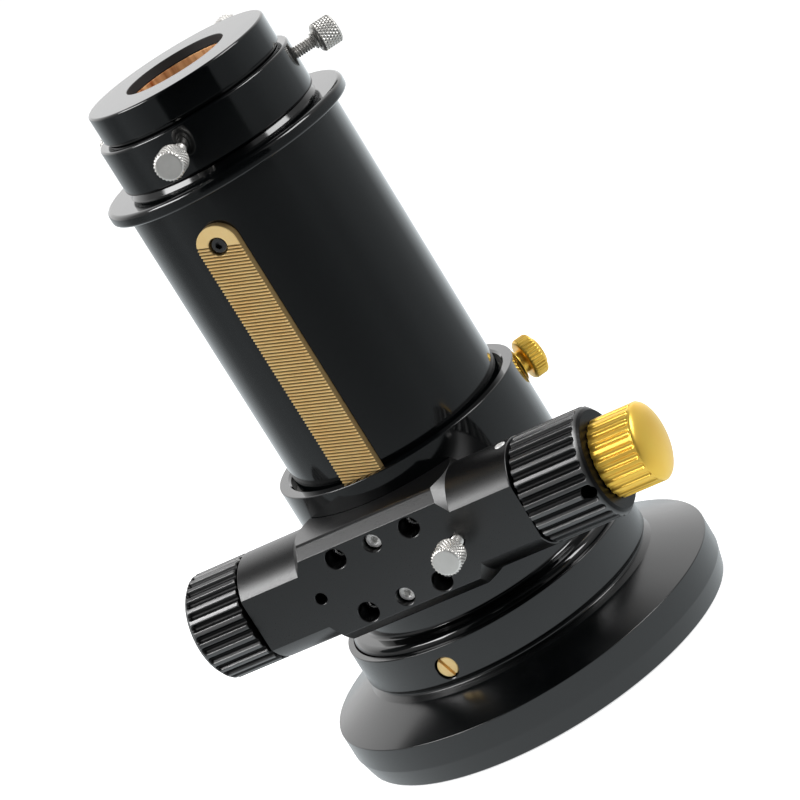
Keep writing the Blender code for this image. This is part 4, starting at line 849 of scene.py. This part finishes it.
print("floor, light and camera")
studio = {"floorSize": 6.0, "floorColour": "f4f4f4", "floorGlow": 0.62, "poolRadius": 0.22, "backLevel": 1.4,
          "dimMiddle": 155, "dimmed": 0.45, "darkMiddle": -67, "darkHalf": 34, "darkNear": 0.97,
          "darkFar": 1.01, "darkness": 0.95, "mirrored": "f0f7fa"}
softboxes = {  # place in metres, width, height, power in watts, and the glow on the wall round it
    "left": {"spot": (-0.70, -0.535, 0.83), "size": (0.68, 0.38), "power": 8.8, "glow": 0.14},
    "right": {"spot": (1.02, 0.09, 0.95), "size": (0.62, 0.54), "power": 9.5, "glow": 0.2}}
sweepLevels = [(0.0, 0.12), (0.1, 0.17), (0.2, 0.18), (0.35, 0.25), (0.55, 0.29), (0.75, 0.36), (0.86, 0.75),
               (0.92, 0.95), (1.0, 1.0)]  # from behind the camera to behind the object
photoCamera = {"right": (0.82220, 0.25763, -0.50755), "up": (0.36950, 0.43669, 0.82023),
               "back": (0.43295, -0.86194, 0.26385), "spot": (0.481617, -0.949285, 0.383461), "lens": 169.09}


def studioLevel(tree, towards, darkShare, farShare):
    # white sweep behind the object, dimmer side walls, and a dark gap behind the camera
    flat = addNode(tree, "ShaderNodeVectorMath", {
        "operation": "MULTIPLY", 0: towards, 1: (1, 1, 0)}).outputs[0]
    flat = addNode(tree, "ShaderNodeVectorMath", {"operation": "NORMALIZE", 0: flat}).outputs[0]
    behind = Vector((-photoCamera["back"][0], -photoCamera["back"][1], 0)).normalized()
    gap, left = math.radians(studio["darkMiddle"]), math.radians(studio["dimMiddle"])
    outer, inner = (math.cos(math.radians(studio["darkHalf"] + soft)) for soft in (1.5, -1.5))
    shares = []
    for direction, start, stop, low, high in (
            (behind, -1, 1, 0, 1),
            ((math.cos(gap), math.sin(gap), 0), outer, inner, 0, -studio["darkness"]),
            ((math.cos(left), math.sin(left), 0), 0.62, 0.8, 0, -studio["dimmed"])):
        facing = addNode(tree, "ShaderNodeVectorMath", {"operation": "DOT_PRODUCT", 0: flat, 1: direction})
        share = addNode(tree, "ShaderNodeMapRange", {"Value": facing.outputs["Value"], "From Min": start,
                                                     "From Max": stop, "To Min": low, "To Max": high})
        shares.append(share.outputs["Result"])
    ramp = addNode(tree, "ShaderNodeValToRGB", {"Fac": shares[0]})
    while len(ramp.color_ramp.elements) < len(sweepLevels):
        ramp.color_ramp.elements.new(0.5)
    for element, (spot, grey) in zip(ramp.color_ramp.elements, sweepLevels):
        element.position = spot
    for element, (spot, grey) in zip(ramp.color_ramp.elements, sweepLevels):
        element.color = (grey, grey, grey, 1)
    level = addNode(tree, "ShaderNodeMath", {"operation": "MULTIPLY", 0: ramp.outputs["Color"],
                                             1: studio["backLevel"]}).outputs[0]
    for share, amount in ((shares[1], darkShare), (shares[2], farShare)):
        kept = addNode(tree, "ShaderNodeMath", {"operation": "MULTIPLY_ADD", 0: share, 1: amount, 2: 1.0})
        level = addNode(tree, "ShaderNodeMath", {
            "operation": "MULTIPLY", 0: level, 1: kept.outputs[0]}).outputs[0]
    return level


def makeFloor():
    half = studio["floorSize"]
    mesh = bpy.data.meshes.new("paleFloor")
    mesh.from_pydata([(x, y, 0) for x, y in boxOutline(-half, -half, half, half)], [], [(0, 1, 2, 3)])
    floor = bpy.data.objects.new("paleFloor", mesh)
    bpy.context.scene.collection.objects.link(floor)
    floor.location.z = -0.2 * mm
    material = bpy.data.materials.new("whitePaperSweep")
    material.use_nodes = True
    tree = material.node_tree
    tree.nodes.clear()
    path = addNode(tree, "ShaderNodeLightPath", {})
    spot = addNode(tree, "ShaderNodeTexCoord", {}).outputs["Object"]
    paper = addNode(tree, "ShaderNodeBsdfDiffuse", {"Color": toLinear(studio["floorColour"])}).outputs[0]
    glow = addNode(tree, "ShaderNodeEmission", {
        "Color": (1, 1, 1, 1), "Strength": studio["floorGlow"]}).outputs[0]
    seen = addNode(tree, "ShaderNodeAddShader", {0: paper, 1: glow}).outputs[0]
    # in reflections the floor glows as a painted pool of light: white near the object, falling off to the
    # level of the room
    reach = addNode(tree, "ShaderNodeVectorMath", {"operation": "LENGTH", 0: spot}).outputs["Value"]
    pool = reach
    for operation, amount in (("DIVIDE", studio["poolRadius"]), ("POWER", 4.0), ("ADD", 1.0),
                              ("POWER", -1.0)):
        pool = addNode(tree, "ShaderNodeMath", {"operation": operation, 0: pool, 1: amount}).outputs[0]
    dark, far = (addNode(tree, "ShaderNodeMapRange", {
        "Value": reach, "From Min": near, "From Max": end}).outputs[0]
                 for near, end in ((studio["darkNear"], studio["darkFar"]), (0.05, 0.95)))
    room = studioLevel(tree, spot, dark, far)
    level = addNode(tree, "ShaderNodeMix", {"data_type": "FLOAT", 0: pool, 2: room, 3: 1.0}).outputs[0]
    mirrored = addNode(tree, "ShaderNodeEmission", {"Color": toLinear(studio["mirrored"]), "Strength": level})
    both = addNode(tree, "ShaderNodeMath", {"operation": "MAXIMUM", 0: path.outputs["Is Glossy Ray"],
                                            1: path.outputs["Is Transmission Ray"]}).outputs[0]
    lit = addNode(tree, "ShaderNodeMixShader", {
        0: path.outputs["Is Camera Ray"], 1: paper, 2: seen}).outputs[0]
    mix = addNode(tree, "ShaderNodeMixShader", {0: both, 1: lit, 2: mirrored.outputs[0]})
    addNode(tree, "ShaderNodeOutputMaterial", {"Surface": mix.outputs[0]})
    mesh.materials.append(material)


def makeWorld():
    world = bpy.data.worlds.new("whiteStudio")
    bpy.context.scene.world = world
    world.use_nodes = True
    tree = world.node_tree
    tree.nodes.clear()
    path = addNode(tree, "ShaderNodeLightPath", {})
    towards = addNode(tree, "ShaderNodeTexCoord", {}).outputs["Generated"]
    height = addNode(tree, "ShaderNodeSeparateXYZ", {0: towards}).outputs["Z"]
    ceiling = addNode(tree, "ShaderNodeMapRange", {
        "interpolation_type": "SMOOTHSTEP", "Value": height, "From Min": 0.68, "From Max": 0.86,
        "To Min": 1.0, "To Max": 0.03}).outputs["Result"]
    level = studioLevel(tree, towards, 1.0, 0.0)
    level = addNode(tree, "ShaderNodeMath", {"operation": "MULTIPLY", 0: level, 1: ceiling}).outputs[0]
    for box in softboxes.values():
        aim = Vector(box["spot"]).normalized()
        facing = addNode(tree, "ShaderNodeVectorMath", {"operation": "DOT_PRODUCT", 0: towards, 1: aim})
        near = addNode(tree, "ShaderNodeMapRange", {
            "interpolation_type": "SMOOTHSTEP", "Value": facing.outputs["Value"], "From Min": 0.78,
            "From Max": 0.996, "To Min": 0.0, "To Max": box["glow"]}).outputs["Result"]
        level = addNode(tree, "ShaderNodeMath", {"operation": "ADD", 0: level, 1: near}).outputs[0]
    strength = addNode(tree, "ShaderNodeMix", {
        "data_type": "FLOAT", 0: path.outputs["Is Camera Ray"], 2: level, 3: 1.0}).outputs[0]
    sky = addNode(tree, "ShaderNodeBackground", {"Color": (1, 1, 1, 1), "Strength": strength})
    addNode(tree, "ShaderNodeOutputWorld", {"Surface": sky.outputs[0]})


def makeLights():
    for side, box in softboxes.items():
        light = bpy.data.lights.new(side + "Softbox", "AREA")
        light.shape = "RECTANGLE"
        light.size, light.size_y = box["size"]
        light.energy = box["power"]
        lamp = bpy.data.objects.new(side + "Softbox", light)
        bpy.context.scene.collection.objects.link(lamp)
        lamp.location = box["spot"]
        towards = Vector((0, 0, 0.1)) - Vector(box["spot"])
        lamp.rotation_euler = towards.to_track_quat("-Z", "Y").to_euler()


def makeCamera():
    camera = bpy.data.cameras.new("photoCamera")
    camera.sensor_width = 36
    camera.lens = photoCamera["lens"]
    camera.clip_start = 0.05
    camera.clip_end = 30
    eye = bpy.data.objects.new("photoCamera", camera)
    bpy.context.scene.collection.objects.link(eye)
    turn = Matrix([photoCamera[key] for key in ("right", "up", "back")]).transposed().to_4x4()
    eye.matrix_world = Matrix.Translation(photoCamera["spot"]) @ turn
    bpy.context.scene.camera = eye


makeFloor()
makeWorld()
makeLights()
makeCamera()
bpy.context.scene.view_settings.view_transform = "Standard"
